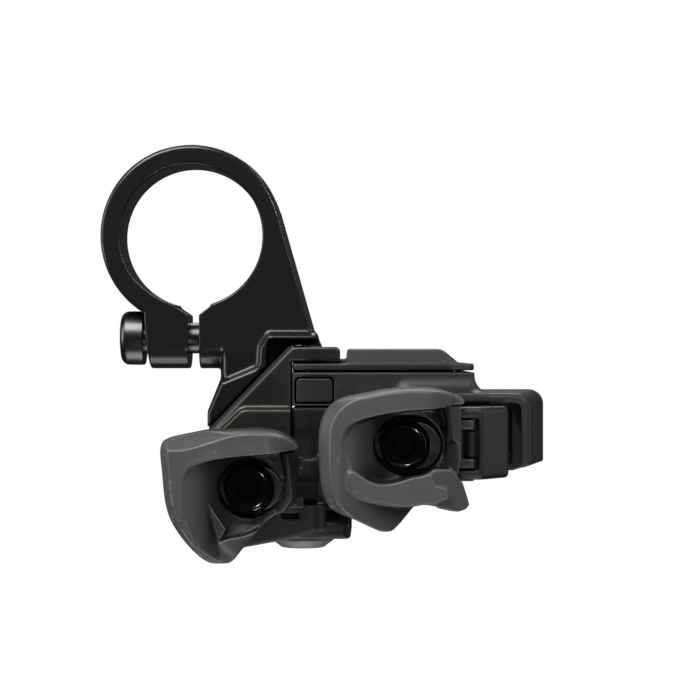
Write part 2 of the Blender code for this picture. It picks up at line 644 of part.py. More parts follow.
def make_electronics():
    """Coin cell, contact, board and the three tactile switches."""
    cell = cylinder("coin_cell", CELL_RADIUS, CELL_CENTRE, CELL_TOP - CELL_THICKNESS, CELL_TOP)
    finish(bevel(cell, 0.4 * MM, 1), *STEEL)
    contact = box("battery_contact", mm(29.0, 0.5, -25.75), mm(32.0, 13.6, -25.4))
    leg = box("contact_leg", mm(29.0, 12.6, -27.1), mm(32.0, 13.6, -25.4))
    finish(join(contact, leg), *STEEL)
    board = box("circuit_board", mm(20.6, -3.6, -28.4), mm(41.0, 16.4, -27.4))
    finish(board, *BOARD_GREEN)
    main = box("main_switch", mm(38.6, 6, -33.5), mm(41.4, 10, -29.0))
    finish(main, *RUBBER)
    release = box("release_switch", mm(18.0, -5.8, -39.7), mm(20.8, -2.2, -36.6))
    finish(release, *RUBBER)
    function = box("function_switch", mm(17.8, -6.2, -25.4), mm(20.8, -4.9, -22.9))
    finish(function, *RUBBER)


def make_plungers():
    """Sealed pins that carry each lever's push to its switch, and the function button."""
    main_axis = joint_axis("main_plunger_axis", MAIN_PLUNGER)
    main = cylinder("main_plunger", PLUNGER_RADIUS, MAIN_PLUNGER, 42.0 * MM, 45.4 * MM, "X", SMALL_SIDES)
    finish(main, *RUBBER, main_axis)
    release_axis = joint_axis("release_plunger_axis", RELEASE_PLUNGER)
    release = cylinder("release_plunger", PLUNGER_RADIUS, RELEASE_PLUNGER, 14.3 * MM, 17.3 * MM, "X",
                       SMALL_SIDES)
    finish(release, *RUBBER, release_axis)
    button_axis = joint_axis("function_button_axis", (BUTTON_LOW + BUTTON_HIGH) / 2)
    button = bevel(box("function_button", BUTTON_LOW, BUTTON_HIGH), 0.35 * MM)
    finish(button, *RUBBER, button_axis)


def slide_slot(name, bolt, travel, low, high):
    """Slot for a paddle bolt, long enough for the paddle's travel towards -X."""
    radius = M4_SHANK + 0.2 * MM
    right = (bolt.x, bolt.z)
    left = (bolt.x - travel, bolt.z)
    outline = arc(right, radius, -90, 90, 8) + arc(left, radius, 90, 270, 8)
    return plate(name, outline, low, high)


def make_main_lever():
    """Channel-shaped lever under the hood, its bushing, axle and return spring."""
    axis = joint_axis("main_lever_axis", (MAIN_PIVOT.x, MAIN_PIVOT.y, -32 * MM))
    body = plate("main_lever", rounded(MAIN_LEVER_PLAN), MAIN_BOTTOM, MAIN_TOP, "XY")
    bevel(body, 0.6 * MM)
    front = box("main_front", (27.6 * MM, PADDLE_PLATE_FRONT, -36.4 * MM),
                (42.5 * MM, PADDLE_PLATE_BACK, -27.4 * MM))
    bevel(front, 0.8 * MM)
    mouth = box("main_mouth", mm(40.0, -20.5, -35.8), (43.6 * MM, PADDLE_PLATE_FRONT, -28.0 * MM))
    channel = plate("main_channel", rounded(MAIN_CHANNEL_PLAN), -35.6 * MM, -28.2 * MM, "XY")
    bore = cylinder("main_bore", 1.9 * MM, MAIN_PIVOT, -38 * MM, -26 * MM, "Z", 24)
    spring_room = cylinder("main_spring_room", 3.4 * MM, MAIN_PIVOT, -38 * MM, -34.6 * MM, "Z", 24)
    slot = slide_slot("main_slot", MAIN_BOLT, MAIN_SLIDE, -18.9 * MM, -14.3 * MM)
    join(body, front)
    cut(body, mouth, channel, bore, spring_room, slot)
    finish(body, *LEVER_BLACK, axis)
    bushing = ring("main_bushing", 1.8 * MM, 1.35 * MM, MAIN_PIVOT, -34.4 * MM, -27.0 * MM, 24)
    finish(bushing, *BRONZE, axis)
    axle = cylinder("main_axle", MAIN_AXLE_RADIUS, MAIN_PIVOT, MAIN_AXLE_BOTTOM, MAIN_AXLE_TOP)
    finish(axle, *STEEL)
    spring = coil("main_spring", 2.3 * MM, 0.2 * MM, MAIN_PIVOT, -36.6 * MM, 0.55 * MM, 3, 0.9 * MM)
    finish(spring, *STEEL)


def make_release_lever():
    """Lever under the pod, its bushing, washer, axle, cap and return spring."""
    axis = joint_axis("release_lever_axis", (RELEASE_PIVOT.x, RELEASE_PIVOT.y, -45 * MM))
    plan = rounded(RELEASE_LEVER_PLAN)
    body = plate("release_lever", plan, RELEASE_FLANGE_BOTTOM, RELEASE_FLANGE_TOP, "XY")
    bevel(body, SOFT_EDGE)
    hub = cylinder("release_hub", RELEASE_HUB_RADIUS, RELEASE_PIVOT, RELEASE_HUB_BOTTOM, RELEASE_HUB_TOP)
    bevel(hub, 0.5 * MM)
    front = plate("release_front", rounded(RELEASE_FRONT_OUTLINE), -17.6 * MM, -15.2 * MM)
    web = box("release_web", mm(19.7, -17.5, -45.0), mm(21.1, -9.2, -33.4))
    rib = box("release_rib", mm(12.4, -6, -44.6), mm(14.0, -2, -36.3))
    join(body, hub, front, web, rib)
    cut(body,
        cylinder("release_bore", 2.45 * MM, RELEASE_PIVOT, -48 * MM, -42 * MM, "Z", 24),
        cylinder("release_spring_room", 5.4 * MM, RELEASE_PIVOT, -45.2 * MM, -42 * MM),
        slide_slot("release_slot", RELEASE_BOLT, RELEASE_SLIDE, -18.6 * MM, -14 * MM))
    finish(body, *LEVER_BLACK, axis)
    bushing = ring("release_bushing", 2.35 * MM, 1.9 * MM, RELEASE_PIVOT, -47.5 * MM, -42.3 * MM, 24)
    finish(bushing, *BRONZE, axis)
    washer = ring("release_washer", 4.4 * MM, 1.95 * MM, RELEASE_PIVOT, -42.0 * MM, -41.7 * MM, 24)
    finish(washer, *STEEL)
    axle = cylinder("release_axle", 1.75 * MM, RELEASE_PIVOT, -48.7 * MM, -36.9 * MM, "Z", 24)
    finish(axle, *STEEL)
    cap_profile = [(radius * MM, station * MM) for radius, station in CAP_PROFILE]
    cap = turned("pivot_cap", cap_profile, "Z", RELEASE_PIVOT)
    finish(cap, *SATIN_GREY)
    spring = coil("release_spring", 4.2 * MM, 0.25 * MM, RELEASE_PIVOT, -44.6 * MM, 0.62 * MM, 3, 0.6 * MM)
    finish(spring, *STEEL)


def paddle_hardware(prefix, bolt_place, axis):
    """Socket-head bolt through the paddle's floor and the lever, with its nut behind."""
    label = prefix + "_paddle_bolt"
    bolt = socket_screw(label, 3.5 * MM, 3.5 * MM, M4_SHANK, 10.0 * MM, ORIGIN, "Z", 3.0 * MM)
    put_screw(bolt, Matrix.Translation(bolt_place) @ Matrix.Rotation(math.radians(90), 4, "X"))
    finish(bolt, *BLACK_STEEL, axis)
    nut = cylinder(prefix + "_paddle_nut", 4.0 * MM, bolt_place, -14.9 * MM, -12.2 * MM, "Y", 6)
    hole = cylinder(prefix + "_nut_hole", M4_SHANK + HOLE_GAP, bolt_place, -16 * MM, -11 * MM, "Y",
                    SMALL_SIDES)
    cut(nut, hole)
    finish(nut, *STEEL, axis)


def make_main_paddle():
    """Scoop-shaped thumb paddle of the main lever, open towards +X."""
    axis = joint_axis("main_paddle_axis", MAIN_BOLT)
    body = plate("main_paddle", rounded(MAIN_PADDLE_OUTLINE, 2), PADDLE_FRONT, PADDLE_BACK)
    bevel(body, 0.9 * MM)
    scoop = plate("main_scoop", rounded(MAIN_SCOOP_OUTLINE, 2), PADDLE_FRONT - 2 * MM, PADDLE_FLOOR)
    hole = cylinder("main_paddle_hole", M4_SHANK + HOLE_GAP, MAIN_BOLT, -22 * MM, -17 * MM, "Y", SMALL_SIDES)
    cut(body, scoop, hole)
    for label, low, high in (("main_tab_top", -29.7, -28.3), ("main_tab_bottom", -35.5, -34.1)):
        tab = box(label, (39.5 * MM, TAB_FRONT, low * MM), (43.3 * MM, PADDLE_BACK, high * MM))
        join(body, tab)
    finish(body, *PADDLE_GREY, axis)
    paddle_hardware("main", MAIN_BOLT, axis)


def make_release_paddle():
    """Scoop-shaped thumb paddle of the release lever, open towards +X and downwards."""
    axis = joint_axis("release_paddle_axis", RELEASE_BOLT)
    body = plate("release_paddle", rounded(RELEASE_PADDLE_OUTLINE, 2), PADDLE_FRONT, PADDLE_BACK)
    bevel(body, 0.8 * MM)
    scoop = plate("release_scoop", rounded(RELEASE_SCOOP_OUTLINE, 2), PADDLE_FRONT - 2 * MM, PADDLE_FLOOR)
    hole = cylinder("release_paddle_hole", M4_SHANK + HOLE_GAP, RELEASE_BOLT, -22 * MM, -17 * MM, "Y",
                    SMALL_SIDES)
    cut(body, scoop, hole)
    for label, low, high in (("release_tab_top", -35.6, -33.8), ("release_tab_bottom", -41.4, -39.7)):
        tab = box(label, (15.5 * MM, RELEASE_TAB_FRONT, low * MM), (18.0 * MM, PADDLE_BACK, high * MM))
        join(body, tab)
    finish(body, *PADDLE_GREY, axis)
    paddle_hardware("release", RELEASE_BOLT, axis)


make_clamp()
make_adapter()
make_lid()
make_upper_housing()
make_lower_housing()
make_electronics()
make_plungers()
make_main_lever()
make_release_lever()
make_main_paddle()
make_release_paddle()
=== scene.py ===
"""Looks of the handlebar shift switch: fine surfaces, finishes, studio light and camera."""

import json
import math

import bmesh
import bpy
import numpy as np
from mathutils import Matrix, Vector

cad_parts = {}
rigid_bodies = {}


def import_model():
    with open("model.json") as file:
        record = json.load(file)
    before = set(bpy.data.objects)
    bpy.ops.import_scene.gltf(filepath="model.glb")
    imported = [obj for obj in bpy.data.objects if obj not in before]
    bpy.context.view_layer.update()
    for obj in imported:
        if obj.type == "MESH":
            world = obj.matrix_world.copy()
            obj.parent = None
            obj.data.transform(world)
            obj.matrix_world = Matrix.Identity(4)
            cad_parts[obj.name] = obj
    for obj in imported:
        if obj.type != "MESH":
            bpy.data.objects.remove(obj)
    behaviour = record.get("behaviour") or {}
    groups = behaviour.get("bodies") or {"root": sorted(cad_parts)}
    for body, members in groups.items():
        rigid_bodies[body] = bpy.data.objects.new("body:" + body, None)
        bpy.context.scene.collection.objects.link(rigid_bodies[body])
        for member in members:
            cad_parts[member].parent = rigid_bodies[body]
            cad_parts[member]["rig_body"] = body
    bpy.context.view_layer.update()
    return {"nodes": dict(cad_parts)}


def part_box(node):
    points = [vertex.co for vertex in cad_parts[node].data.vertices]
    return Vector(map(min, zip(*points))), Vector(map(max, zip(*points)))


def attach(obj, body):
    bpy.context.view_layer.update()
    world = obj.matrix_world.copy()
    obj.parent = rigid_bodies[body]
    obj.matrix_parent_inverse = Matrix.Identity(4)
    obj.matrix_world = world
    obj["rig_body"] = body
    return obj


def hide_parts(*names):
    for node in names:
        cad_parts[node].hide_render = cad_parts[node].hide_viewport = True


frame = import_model()

MM = 0.001

# Spacing of the points that a solid is worked out on, in millimetres
FINE = 0.15
MEDIUM = 0.18


def corners_of(node):
    """Lower and higher corner of a CAD node's box, in millimetres."""
    return [np.array(corner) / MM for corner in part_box(node)]


def middle_of(node):
    """Centre of a CAD node's box, in millimetres."""
    low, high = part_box(node)
    return (low + high) / 2 / MM


# ---------------------------------------------------------------- solids as signed distances

class Space:
    """Points around a CAD node, in millimetres; a solid is its signed distance at each of them."""

    def __init__(self, node, step, margin=0.6):
        low, high = corners_of(node)
        low = low - margin
        counts = np.ceil((high + margin - low) / step).astype(int) + 1
        self.node = node
        self.low = low
        self.step = step
        axes = [(low[k] + step * np.arange(counts[k])).astype(np.float32) for k in range(3)]
        self.x = axes[0].reshape(-1, 1, 1)
        self.y = axes[1].reshape(1, -1, 1)
        self.z = axes[2].reshape(1, 1, -1)


def flat(points, across, up):
    """Signed distance to a closed outline in a plane, negative inside."""
    shape = np.broadcast(across, up).shape
    nearest = np.full(shape, np.inf, np.float32)
    inside = np.zeros(shape, bool)
    for start, end in zip(points, points[1:] + points[:1]):
        run = end[0] - start[0]
        rise = end[1] - start[1]
        if run == 0 and rise == 0:
            continue
        over = across - start[0]
        above = up - start[1]
        share = np.clip((over * run + above * rise) / (run * run + rise * rise), 0, 1)
        nearest = np.minimum(nearest, (over - share * run) ** 2 + (above - share * rise) ** 2)
        if rise:
            crossed = (up >= start[1]) != (up >= end[1])
            inside ^= crossed & (across < start[0] + run * above / rise)
    return np.where(inside, -np.sqrt(nearest), np.sqrt(nearest))


def prism(outline, along, low, high, rim=0.0):
    """Solid of a flat outline between two stations, its rims rounded."""
    side = outline + rim
    end = np.abs(along - (low + high) / 2) - (high - low) / 2 + rim
    outer = np.hypot(np.maximum(side, 0), np.maximum(end, 0))
    return np.minimum(np.maximum(side, end), 0) + outer - rim


def add(one, other, fillet=0.0):
    """Union, with the inside corner between the two filleted."""
    if isinstance(fillet, float) and fillet == 0.0:
        return np.minimum(one, other)
    near = np.hypot(np.maximum(fillet - one, 0), np.maximum(fillet - other, 0))
    return np.maximum(fillet, np.minimum(one, other)) - near


def keep(one, other, round_off=0.0):
    """Intersection, with the outside corner between the two rounded."""
    return -add(-one, -other, round_off)


def remove(one, other, round_off=0.0):
    """One solid less another, with the edge of the cut rounded."""
    return keep(one, -other, round_off)


def block(space, low, high, rim=0.0):
    """Box between two corners, with rounded edges."""
    sides = [np.abs(axis - (a + b) / 2) - (b - a) / 2 + rim
             for axis, a, b in zip((space.x, space.y, space.z), low, high)]
    outer = np.sqrt(sum(np.maximum(side, 0) ** 2 for side in sides))
    return np.minimum(np.maximum(np.maximum(sides[0], sides[1]), sides[2]), 0) + outer - rim


def disc(across, up, centre, radius):
    """Flat distance to a circle."""
    return np.hypot(across - centre[0], up - centre[1]) - radius


def stadium(across, up, start, end, radius):
    """Flat distance to a slot's outline between two centres on a level line."""
    over = np.maximum(np.maximum(start[0] - across, across - end[0]), 0)
    return np.hypot(over, up - start[1]) - radius


def ramp(value, start, end):
    """0 before start and 1 after end, with a smooth rise between."""
    share = np.clip((value - start) / (end - start), 0, 1)
    return share * share * (3 - 2 * share)


def rounded(corners, steps=6):
    """Outline from corners, each (x, y) or (x, y, radius), with the radii as arcs."""
    outline = []
    for index, corner in enumerate(corners):
        point = Vector(corner[:2])
        radius = corner[2] if len(corner) > 2 else 0.0
        if radius == 0.0:
            outline.append(tuple(point))
            continue
        back = (Vector(corners[index - 1][:2]) - point).normalized()
        ahead = (Vector(corners[(index + 1) % len(corners)][:2]) - point).normalized()
        half = back.angle(ahead) / 2
        centre = point + (back + ahead).normalized() * (radius / math.sin(half))
        first = point + back * (radius / math.tan(half)) - centre
        sweep = (point + ahead * (radius / math.tan(half)) - centre).angle_signed(first)
        for step in range(steps + 1):
            outline.append(tuple(centre + Matrix.Rotation(sweep * step / steps, 2) @ first))
    return outline


def flowing(points, steps=6):
    """Closed outline that flows through points; a point with a third value is a sharp corner."""
    outline = []
    count = len(points)
    for index, point in enumerate(points):
        here = Vector(point[:2])
        there = Vector(points[(index + 1) % count][:2])
        before = Vector(points[index - 1][:2])
        after = Vector(points[(index + 2) % count][:2])
        length = (there - here).length
        next_is_sharp = len(points[(index + 1) % count]) > 2
        leaving = (there - here if len(point) > 2 else there - before).normalized() * length
        arriving = (there - here if next_is_sharp else after - here).normalized() * length
        for step in range(steps):
            t = step / steps
            bend = (2 * t ** 3 - 3 * t ** 2 + 1) * here + (t ** 3 - 2 * t ** 2 + t) * leaving
            bend += (3 * t ** 2 - 2 * t ** 3) * there + (t ** 3 - t ** 2) * arriving
            outline.append(tuple(bend))
    return outline


def slanted_rim(edge, along, front, width, depth):
    """Slope that takes width off an outline at its front and nothing at a depth behind it."""
    fall = width / depth
    return (edge + width - fall * (along - front)) / np.sqrt(1 + fall * fall)


CORNERS = [(i, j, k) for i in (0, 1) for j in (0, 1) for k in (0, 1)]


def skin(field, space):
    """Points and four-sided faces of the surface where the distance is zero (surface nets)."""
    inside = field < 0
    size = np.array(field.shape) - 1
    total = np.zeros(size, np.int8)
    for i, j, k in CORNERS:
        total += inside[i:i + size[0], j:j + size[1], k:k + size[2]]
    cells = np.argwhere((total > 0) & (total < 8))
    place = np.zeros((len(cells), 3))
    crossings = np.zeros(len(cells))
    for corner in CORNERS:
        for axis in range(3):
            if corner[axis]:
                continue
            step = np.eye(3, dtype=int)[axis]
            a = cells + corner
            b = a + step
            here = field[tuple(a.T)]
            there = field[tuple(b.T)]
            crossed = (here < 0) != (there < 0)
            gap = np.where(crossed, here - there, 1)
            share = np.where(crossed, here / gap, 0)
            place += crossed[:, None] * (np.array(corner) + share[:, None] * step)
            crossings += crossed
    points = space.low + (cells + place / crossings[:, None]) * space.step
    number = np.full(size, -1, np.int32)
    number[tuple(cells.T)] = np.arange(len(cells))
    faces = []
    for axis in range(3):
        one, two = np.eye(3, dtype=int)[[(axis + 1) % 3, (axis + 2) % 3]]
        near = [slice(1, -1)] * 3
        near[axis] = slice(0, -1)
        far = [slice(1, -1)] * 3
        far[axis] = slice(1, None)
        here = inside[tuple(near)]
        there = inside[tuple(far)]
        for leaving in (True, False):
            edge = np.argwhere(here & ~there if leaving else ~here & there)
            edge[:, [(axis + 1) % 3, (axis + 2) % 3]] += 1
            around = [edge - one - two, edge - two, edge, edge - one]
            if not leaving:
                around.reverse()
            faces.append(np.stack([number[tuple(cell.T)] for cell in around], axis=1))
    return points * MM, np.concatenate(faces)


def mesh_piece(name, points, faces):
    """Object from points and four-sided faces, shaded smooth."""
    mesh = bpy.data.meshes.new(name)
    mesh.vertices.add(len(points))
    mesh.vertices.foreach_set("co", points.astype(np.float32).ravel())
    mesh.loops.add(faces.size)
    mesh.loops.foreach_set("vertex_index", faces.astype(np.int32).ravel())
    mesh.polygons.add(len(faces))
    mesh.polygons.foreach_set("loop_start", np.arange(0, faces.size, 4, dtype=np.int32))
    mesh.polygons.foreach_set("loop_total", np.full(len(faces), 4, np.int32))
    mesh.update(calc_edges=True)
    mesh.validate()
    mesh.shade_smooth()
    obj = bpy.data.objects.new(name, mesh)
    bpy.context.scene.collection.objects.link(obj)
    return obj


def dress(obj, node, material):
    """Give a piece its finish, and let it stand for its CAD node and ride on that node's body."""
    obj.data.materials.clear()
    obj.data.materials.append(material)
    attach(obj, frame["nodes"][node]["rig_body"])
    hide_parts(node)


def moulded(field, space, material, share=1.0):
    """Piece made from its distances, in the place of the space's CAD node; share is the part of its
    triangles that are kept."""
    points, faces = skin(field, space)
    obj = mesh_piece(space.node + "_look", points, faces)
    if share < 1.0:
        thin = obj.modifiers.new("thin", "DECIMATE")
        thin.ratio = share
        apply_modifiers(obj)
        obj.data.shade_smooth()
    dress(obj, space.node, material)


# ---------------------------------------------------------------- turned pieces

def apply_modifiers(obj):
    """Put what an object's modifiers make in place of its mesh."""
    bpy.context.view_layer.update()
    mesh = bpy.data.meshes.new_from_object(obj.evaluated_get(bpy.context.evaluated_depsgraph_get()))
    obj.modifiers.clear()
    obj.data = mesh


def object_from(body, name):
    """Object from a bmesh, which is freed."""
    mesh = bpy.data.meshes.new(name)
    body.to_mesh(mesh)
    body.free()
    obj = bpy.data.objects.new(name, mesh)
    bpy.context.scene.collection.objects.link(obj)
    return obj


def quarter(radius, station, turn, start, end, steps=5):
    """Profile points of an arc about (radius, station), from one angle to another in degrees."""
    angles = [math.radians(start + (end - start) * step / steps) for step in range(steps + 1)]
    return [(radius + turn * math.cos(angle), station + turn * math.sin(angle)) for angle in angles]


def turned(name, profile, sides=72):
    """Closed turned piece about Z, from (radius, station) points that start and end on the axis."""
    body = bmesh.new()
    rings = []
    for radius, station in profile:
        if radius == 0.0:
            rings.append([body.verts.new((0, 0, station * MM))])
            continue
        angles = [2 * math.pi * step / sides for step in range(sides)]
        rings.append([body.verts.new((radius * MM * math.cos(a), radius * MM * math.sin(a), station * MM))
                      for a in angles])
    for upper, lower in zip(rings, rings[1:]):
        for step in range(sides):
            after = (step + 1) % sides
            corners = [upper[step % len(upper)], lower[step % len(lower)],
                       lower[after % len(lower)], upper[after % len(upper)]]
            unique = [corner for index, corner in enumerate(corners) if corner not in corners[:index]]
            body.faces.new(unique)
    bmesh.ops.recalc_face_normals(body, faces=body.faces)
    return object_from(body, name)


def hexagon(name, flats, low, high, flare=0.0):
    """Six-sided prism about Z, its top corners further out by the flare."""
    body = bmesh.new()
    bmesh.ops.create_cone(body, cap_ends=True, segments=6, radius1=flats / math.sqrt(3) * MM,
                          radius2=(flats / math.sqrt(3) + flare) * MM, depth=(high - low) * MM)
    bmesh.ops.translate(body, verts=body.verts, vec=(0, 0, (low + high) / 2 * MM))
    return object_from(body, name)


def boolean(obj, other, operation):
    """Boolean of two objects, applied; the other one is removed."""
    modifier = obj.modifiers.new("boolean", "BOOLEAN")
    modifier.operation = operation
    modifier.object = other
    modifier.solver = "EXACT"
    apply_modifiers(obj)
    bpy.data.objects.remove(other)


DIRECTIONS = {"X": Vector((1, 0, 0)), "Y": Vector((0, 1, 0)), "Z": Vector((0, 0, 1))}
SHARP_ANGLE = math.radians(32)


def crease(mesh):
    """Smooth shading with sharp edges kept."""
    mesh.shade_smooth()
    mesh.set_sharp_from_angle(angle=SHARP_ANGLE)


def stand(obj, axis, side, place):
    """Turn a piece that was made about Z onto an axis, pointing to its higher or lower end, and move it."""
    turn = (DIRECTIONS[axis] * side).to_track_quat("Z", "Y").to_matrix().to_4x4()
    obj.data.transform(Matrix.Translation(Vector(place) * MM) @ turn)


SOCKET_DEPTH = 0.6  # as a share of the head's height
SOCKET_DRAFT = 0.03
SOCKET_LEAD = 0.4
HEAD_CHAMFER = 0.15
TIP_CHAMFER = 0.3
OVERCUT = 0.2


def screw(node, axis, side, head_height, rim, shank, hex_flats, material):
    """Socket-head screw in the place of a CAD screw; side is +1 where the head is at the higher end."""
    low, high = corners_of(node)
    index = "XYZ".index(axis)
    radius = min((high - low)[k] for k in range(3) if k != index) / 2
    length = (high - low)[index]
    profile = [(0.0, 0.0)] + quarter(radius - rim, -rim, rim, 90, 0)
    profile += [
        (radius, -head_height + HEAD_CHAMFER), (radius - HEAD_CHAMFER, -head_height), (shank, -head_height),
        (shank, -length + TIP_CHAMFER), (shank - TIP_CHAMFER, -length), (0.0, -length),
    ]
    obj = turned(node + "_look", profile)
    socket = hexagon("socket", hex_flats, -SOCKET_DEPTH * head_height, OVERCUT, SOCKET_DRAFT)
    boolean(obj, socket, "DIFFERENCE")
    boolean(obj, hexagon("lead", hex_flats - 0.1, -0.25, 0.15, SOCKET_LEAD), "DIFFERENCE")
    crease(obj.data)
    place = (low + high) / 2
    place[index] = high[index] if side > 0 else low[index]
    stand(obj, axis, side, place)
    dress(obj, node, material)


NUT_CHAMFER = 0.55
NUT_BORE = 2.15
NUT_LEAD = 0.35


def nut(node, axis, material):
    """Hexagon nut with chamfered corners, in the place of a CAD nut."""
    low, high = corners_of(node)
    index = "XYZ".index(axis)
    height = (high - low)[index]
    flats = min((high - low)[k] for k in range(3) if k != index)
    outer = flats / math.sqrt(3) + 0.1
    obj = hexagon(node + "_look", flats, 0, height)
    barrel = turned("barrel", [(0, height), (flats / 2, height), (outer, height - NUT_CHAMFER),
                               (outer, NUT_CHAMFER), (flats / 2, 0), (0, 0)])
    boolean(obj, barrel, "INTERSECT")
    bore = turned("bore", [(0, height + 0.5), (2.6, height + 0.5), (NUT_BORE, height - NUT_LEAD),
                           (NUT_BORE, NUT_LEAD), (2.6, -0.5), (0, -0.5)])
    boolean(obj, bore, "DIFFERENCE")
    crease(obj.data)
    place = (low + high) / 2
    place[index] = low[index]
    stand(obj, axis, 1, place)
    dress(obj, node, material)


# ---------------------------------------------------------------- finishes

DRIFT_SIZE = 6.0
DRIFT_SHARE = 0.55
WEAR_AND_HIGHLIGHT_SIZE = 1.1
WORN_OR_LIT_FROM, WORN_OR_LIT_TO = 0.515, 0.56  # pointiness where edge wear and painted highlight start, and where they are full
# painted shade in a paddle's bolt recess: it fades in between the two distances from the bolt and between
# the two stations in Y, and darkens by the share towards the tone
SHADED_FROM, SHADED_TO = 13.5, 7.0  # distances from a paddle's bolt
SHADED_FRONT, SHADED_DEEP = -27.3, -24.6  # stations in Y
SHADED_SHARE = 0.95
SHADED_TONE = 0.12


def finish(name, colour, roughness, metallic=0.0, specular=0.5, grain=0.12, depth=0.004, mottle=0.12,
           wear_and_highlight=0.0, wear_and_highlight_colour=(0.2, 0.2, 0.2), spread=0.06, bolt=None):
    """Procedural surface: fine grain in the bump, drifting tone and gloss, and lighter convex edges, which
    stand for rubbed wear and, on the paddles, a painted highlight. Lengths are in millimetres. With a bolt's
    node named, shade is painted into the recess around it: darker towards the bolt and further back from the
    front."""
    material = bpy.data.materials.new(name)
    material.use_nodes = True
    nodes = material.node_tree.nodes
    link = material.node_tree.links.new
    shader = nodes["Principled BSDF"]
    shader.inputs["Metallic"].default_value = metallic
    shader.inputs["Specular IOR Level"].default_value = specular
    place = nodes.new("ShaderNodeTexCoord").outputs["Object"]

    def noise(size, detail):
        node = nodes.new("ShaderNodeTexNoise")
        node.inputs["Scale"].default_value = 1 / (size * MM)
        node.inputs["Detail"].default_value = detail
        link(place, node.inputs["Vector"])
        return node.outputs["Fac"]

    def reckoned(operation, first, second, third=None):
        node = nodes.new("ShaderNodeMath")
        node.operation = operation
        for socket, value in zip(node.inputs, (first, second, third)):
            if isinstance(value, float):
                socket.default_value = value
            elif value is not None:
                link(value, socket)
        return node.outputs[0]

    def spanned(value, low, high, top=1.0, smooth=False):
        node = nodes.new("ShaderNodeMapRange")
        node.interpolation_type = "SMOOTHSTEP" if smooth else "LINEAR"
        node.inputs["From Min"].default_value = low
        node.inputs["From Max"].default_value = high
        node.inputs["To Max"].default_value = top
        link(value, node.inputs["Value"])
        return node.outputs["Result"]

    def blended(share, first, second):
        node = nodes.new("ShaderNodeMix")
        node.data_type = "RGBA"
        link(share, node.inputs["Factor"])
        for socket, value in ((node.inputs["A"], first), (node.inputs["B"], second)):
            if isinstance(value, tuple):
                socket.default_value = (*value, 1)
            else:
                link(value, socket)
        return node.outputs["Result"]

    fine = noise(grain, 3.0)
    fine_part = reckoned("MULTIPLY", fine, 1 - DRIFT_SHARE)
    drift = reckoned("MULTIPLY_ADD", noise(DRIFT_SIZE, 5.0), DRIFT_SHARE, fine_part)
    tone = blended(drift, tuple(value * (1 - mottle) for value in colour),
                   tuple(value * (1 + mottle) for value in colour))
    # painted shade in the recess around the bolt: darker near it and deeper in the scoop
    if bolt:
        centre = middle_of(bolt) * MM
        flatten = nodes.new("ShaderNodeMapping")
        flatten.inputs["Scale"].default_value = (1, 0, 1)
        link(place, flatten.inputs["Vector"])
        away = nodes.new("ShaderNodeVectorMath")
        away.operation = "DISTANCE"
        away.inputs[1].default_value = (centre.x, 0, centre.z)
        link(flatten.outputs["Vector"], away.inputs[0])
        near = spanned(away.outputs["Value"], SHADED_FROM * MM, SHADED_TO * MM, smooth=True)
        split = nodes.new("ShaderNodeSeparateXYZ")
        link(place, split.inputs["Vector"])
        within = spanned(split.outputs["Y"], SHADED_FRONT * MM, SHADED_DEEP * MM, SHADED_SHARE, smooth=True)
        shaded = reckoned("MULTIPLY", near, within)
        tone = blended(shaded, tone, tuple(value * SHADED_TONE for value in colour))
    # lighter convex edges: rubbed wear, and on the paddles a painted highlight along rims and ridges
    if wear_and_highlight:
        pointiness = nodes.new("ShaderNodeNewGeometry").outputs["Pointiness"]
        worn_or_highlit = reckoned("MULTIPLY", spanned(pointiness, WORN_OR_LIT_FROM, WORN_OR_LIT_TO, wear_and_highlight), noise(WEAR_AND_HIGHLIGHT_SIZE, 4.0))
        tone = blended(worn_or_highlit, tone, wear_and_highlight_colour)
    link(tone, shader.inputs["Base Color"])
    gloss = nodes.new("ShaderNodeMapRange")
    gloss.inputs["To Min"].default_value = roughness - spread
    gloss.inputs["To Max"].default_value = roughness + spread
    link(drift, gloss.inputs["Value"])
    link(gloss.outputs["Result"], shader.inputs["Roughness"])
    bump = nodes.new("ShaderNodeBump")
    bump.inputs["Distance"].default_value = depth * MM
    link(fine, bump.inputs["Height"])
    link(bump.outputs["Normal"], shader.inputs["Normal"])
    return material


GLOSS = finish("gloss_black_metal", (0.042, 0.042, 0.043), 0.22, metallic=0.75, grain=0.6, depth=0.0006,
               mottle=0.06, spread=0.02)
WARM = finish("warm_black_metal", (0.055, 0.052, 0.047), 0.34, metallic=0.8, grain=0.1, depth=0.003,
              wear_and_highlight=0.3, wear_and_highlight_colour=(0.25, 0.23, 0.2))
STEEL_BLACK = finish("black_steel", (0.045, 0.044, 0.043), 0.13, metallic=1.0, grain=0.3, depth=0.0007,
                     spread=0.03)
SATIN_STEEL = finish("satin_black_steel", (0.09, 0.088, 0.086), 0.3, metallic=1.0, grain=0.3, depth=0.001)
BRIGHT = finish("bright_steel", (0.5, 0.5, 0.5), 0.3, metallic=1.0, grain=0.25, depth=0.003)
CAP = finish("cap_metal", (0.19, 0.19, 0.19), 0.55, metallic=0.6, grain=0.1, depth=0.004)
LEVER = finish("lever_metal", (0.012, 0.012, 0.013), 0.42, depth=0.005, wear_and_highlight=0.25,
               wear_and_highlight_colour=(0.06, 0.06, 0.06))
BRONZE = finish("bushing_bronze", (0.35, 0.22, 0.1), 0.4, metallic=1.0, grain=0.12, depth=0.004)
HOUSING = finish("housing_plastic", (0.02, 0.02, 0.021), 0.42, grain=0.13, depth=0.006, wear_and_highlight=0.25,
                 wear_and_highlight_colour=(0.06, 0.06, 0.064))
LOWER = finish("housing_plastic_lower", (0.006, 0.006, 0.007), 0.5, specular=0.3, grain=0.13, depth=0.006)
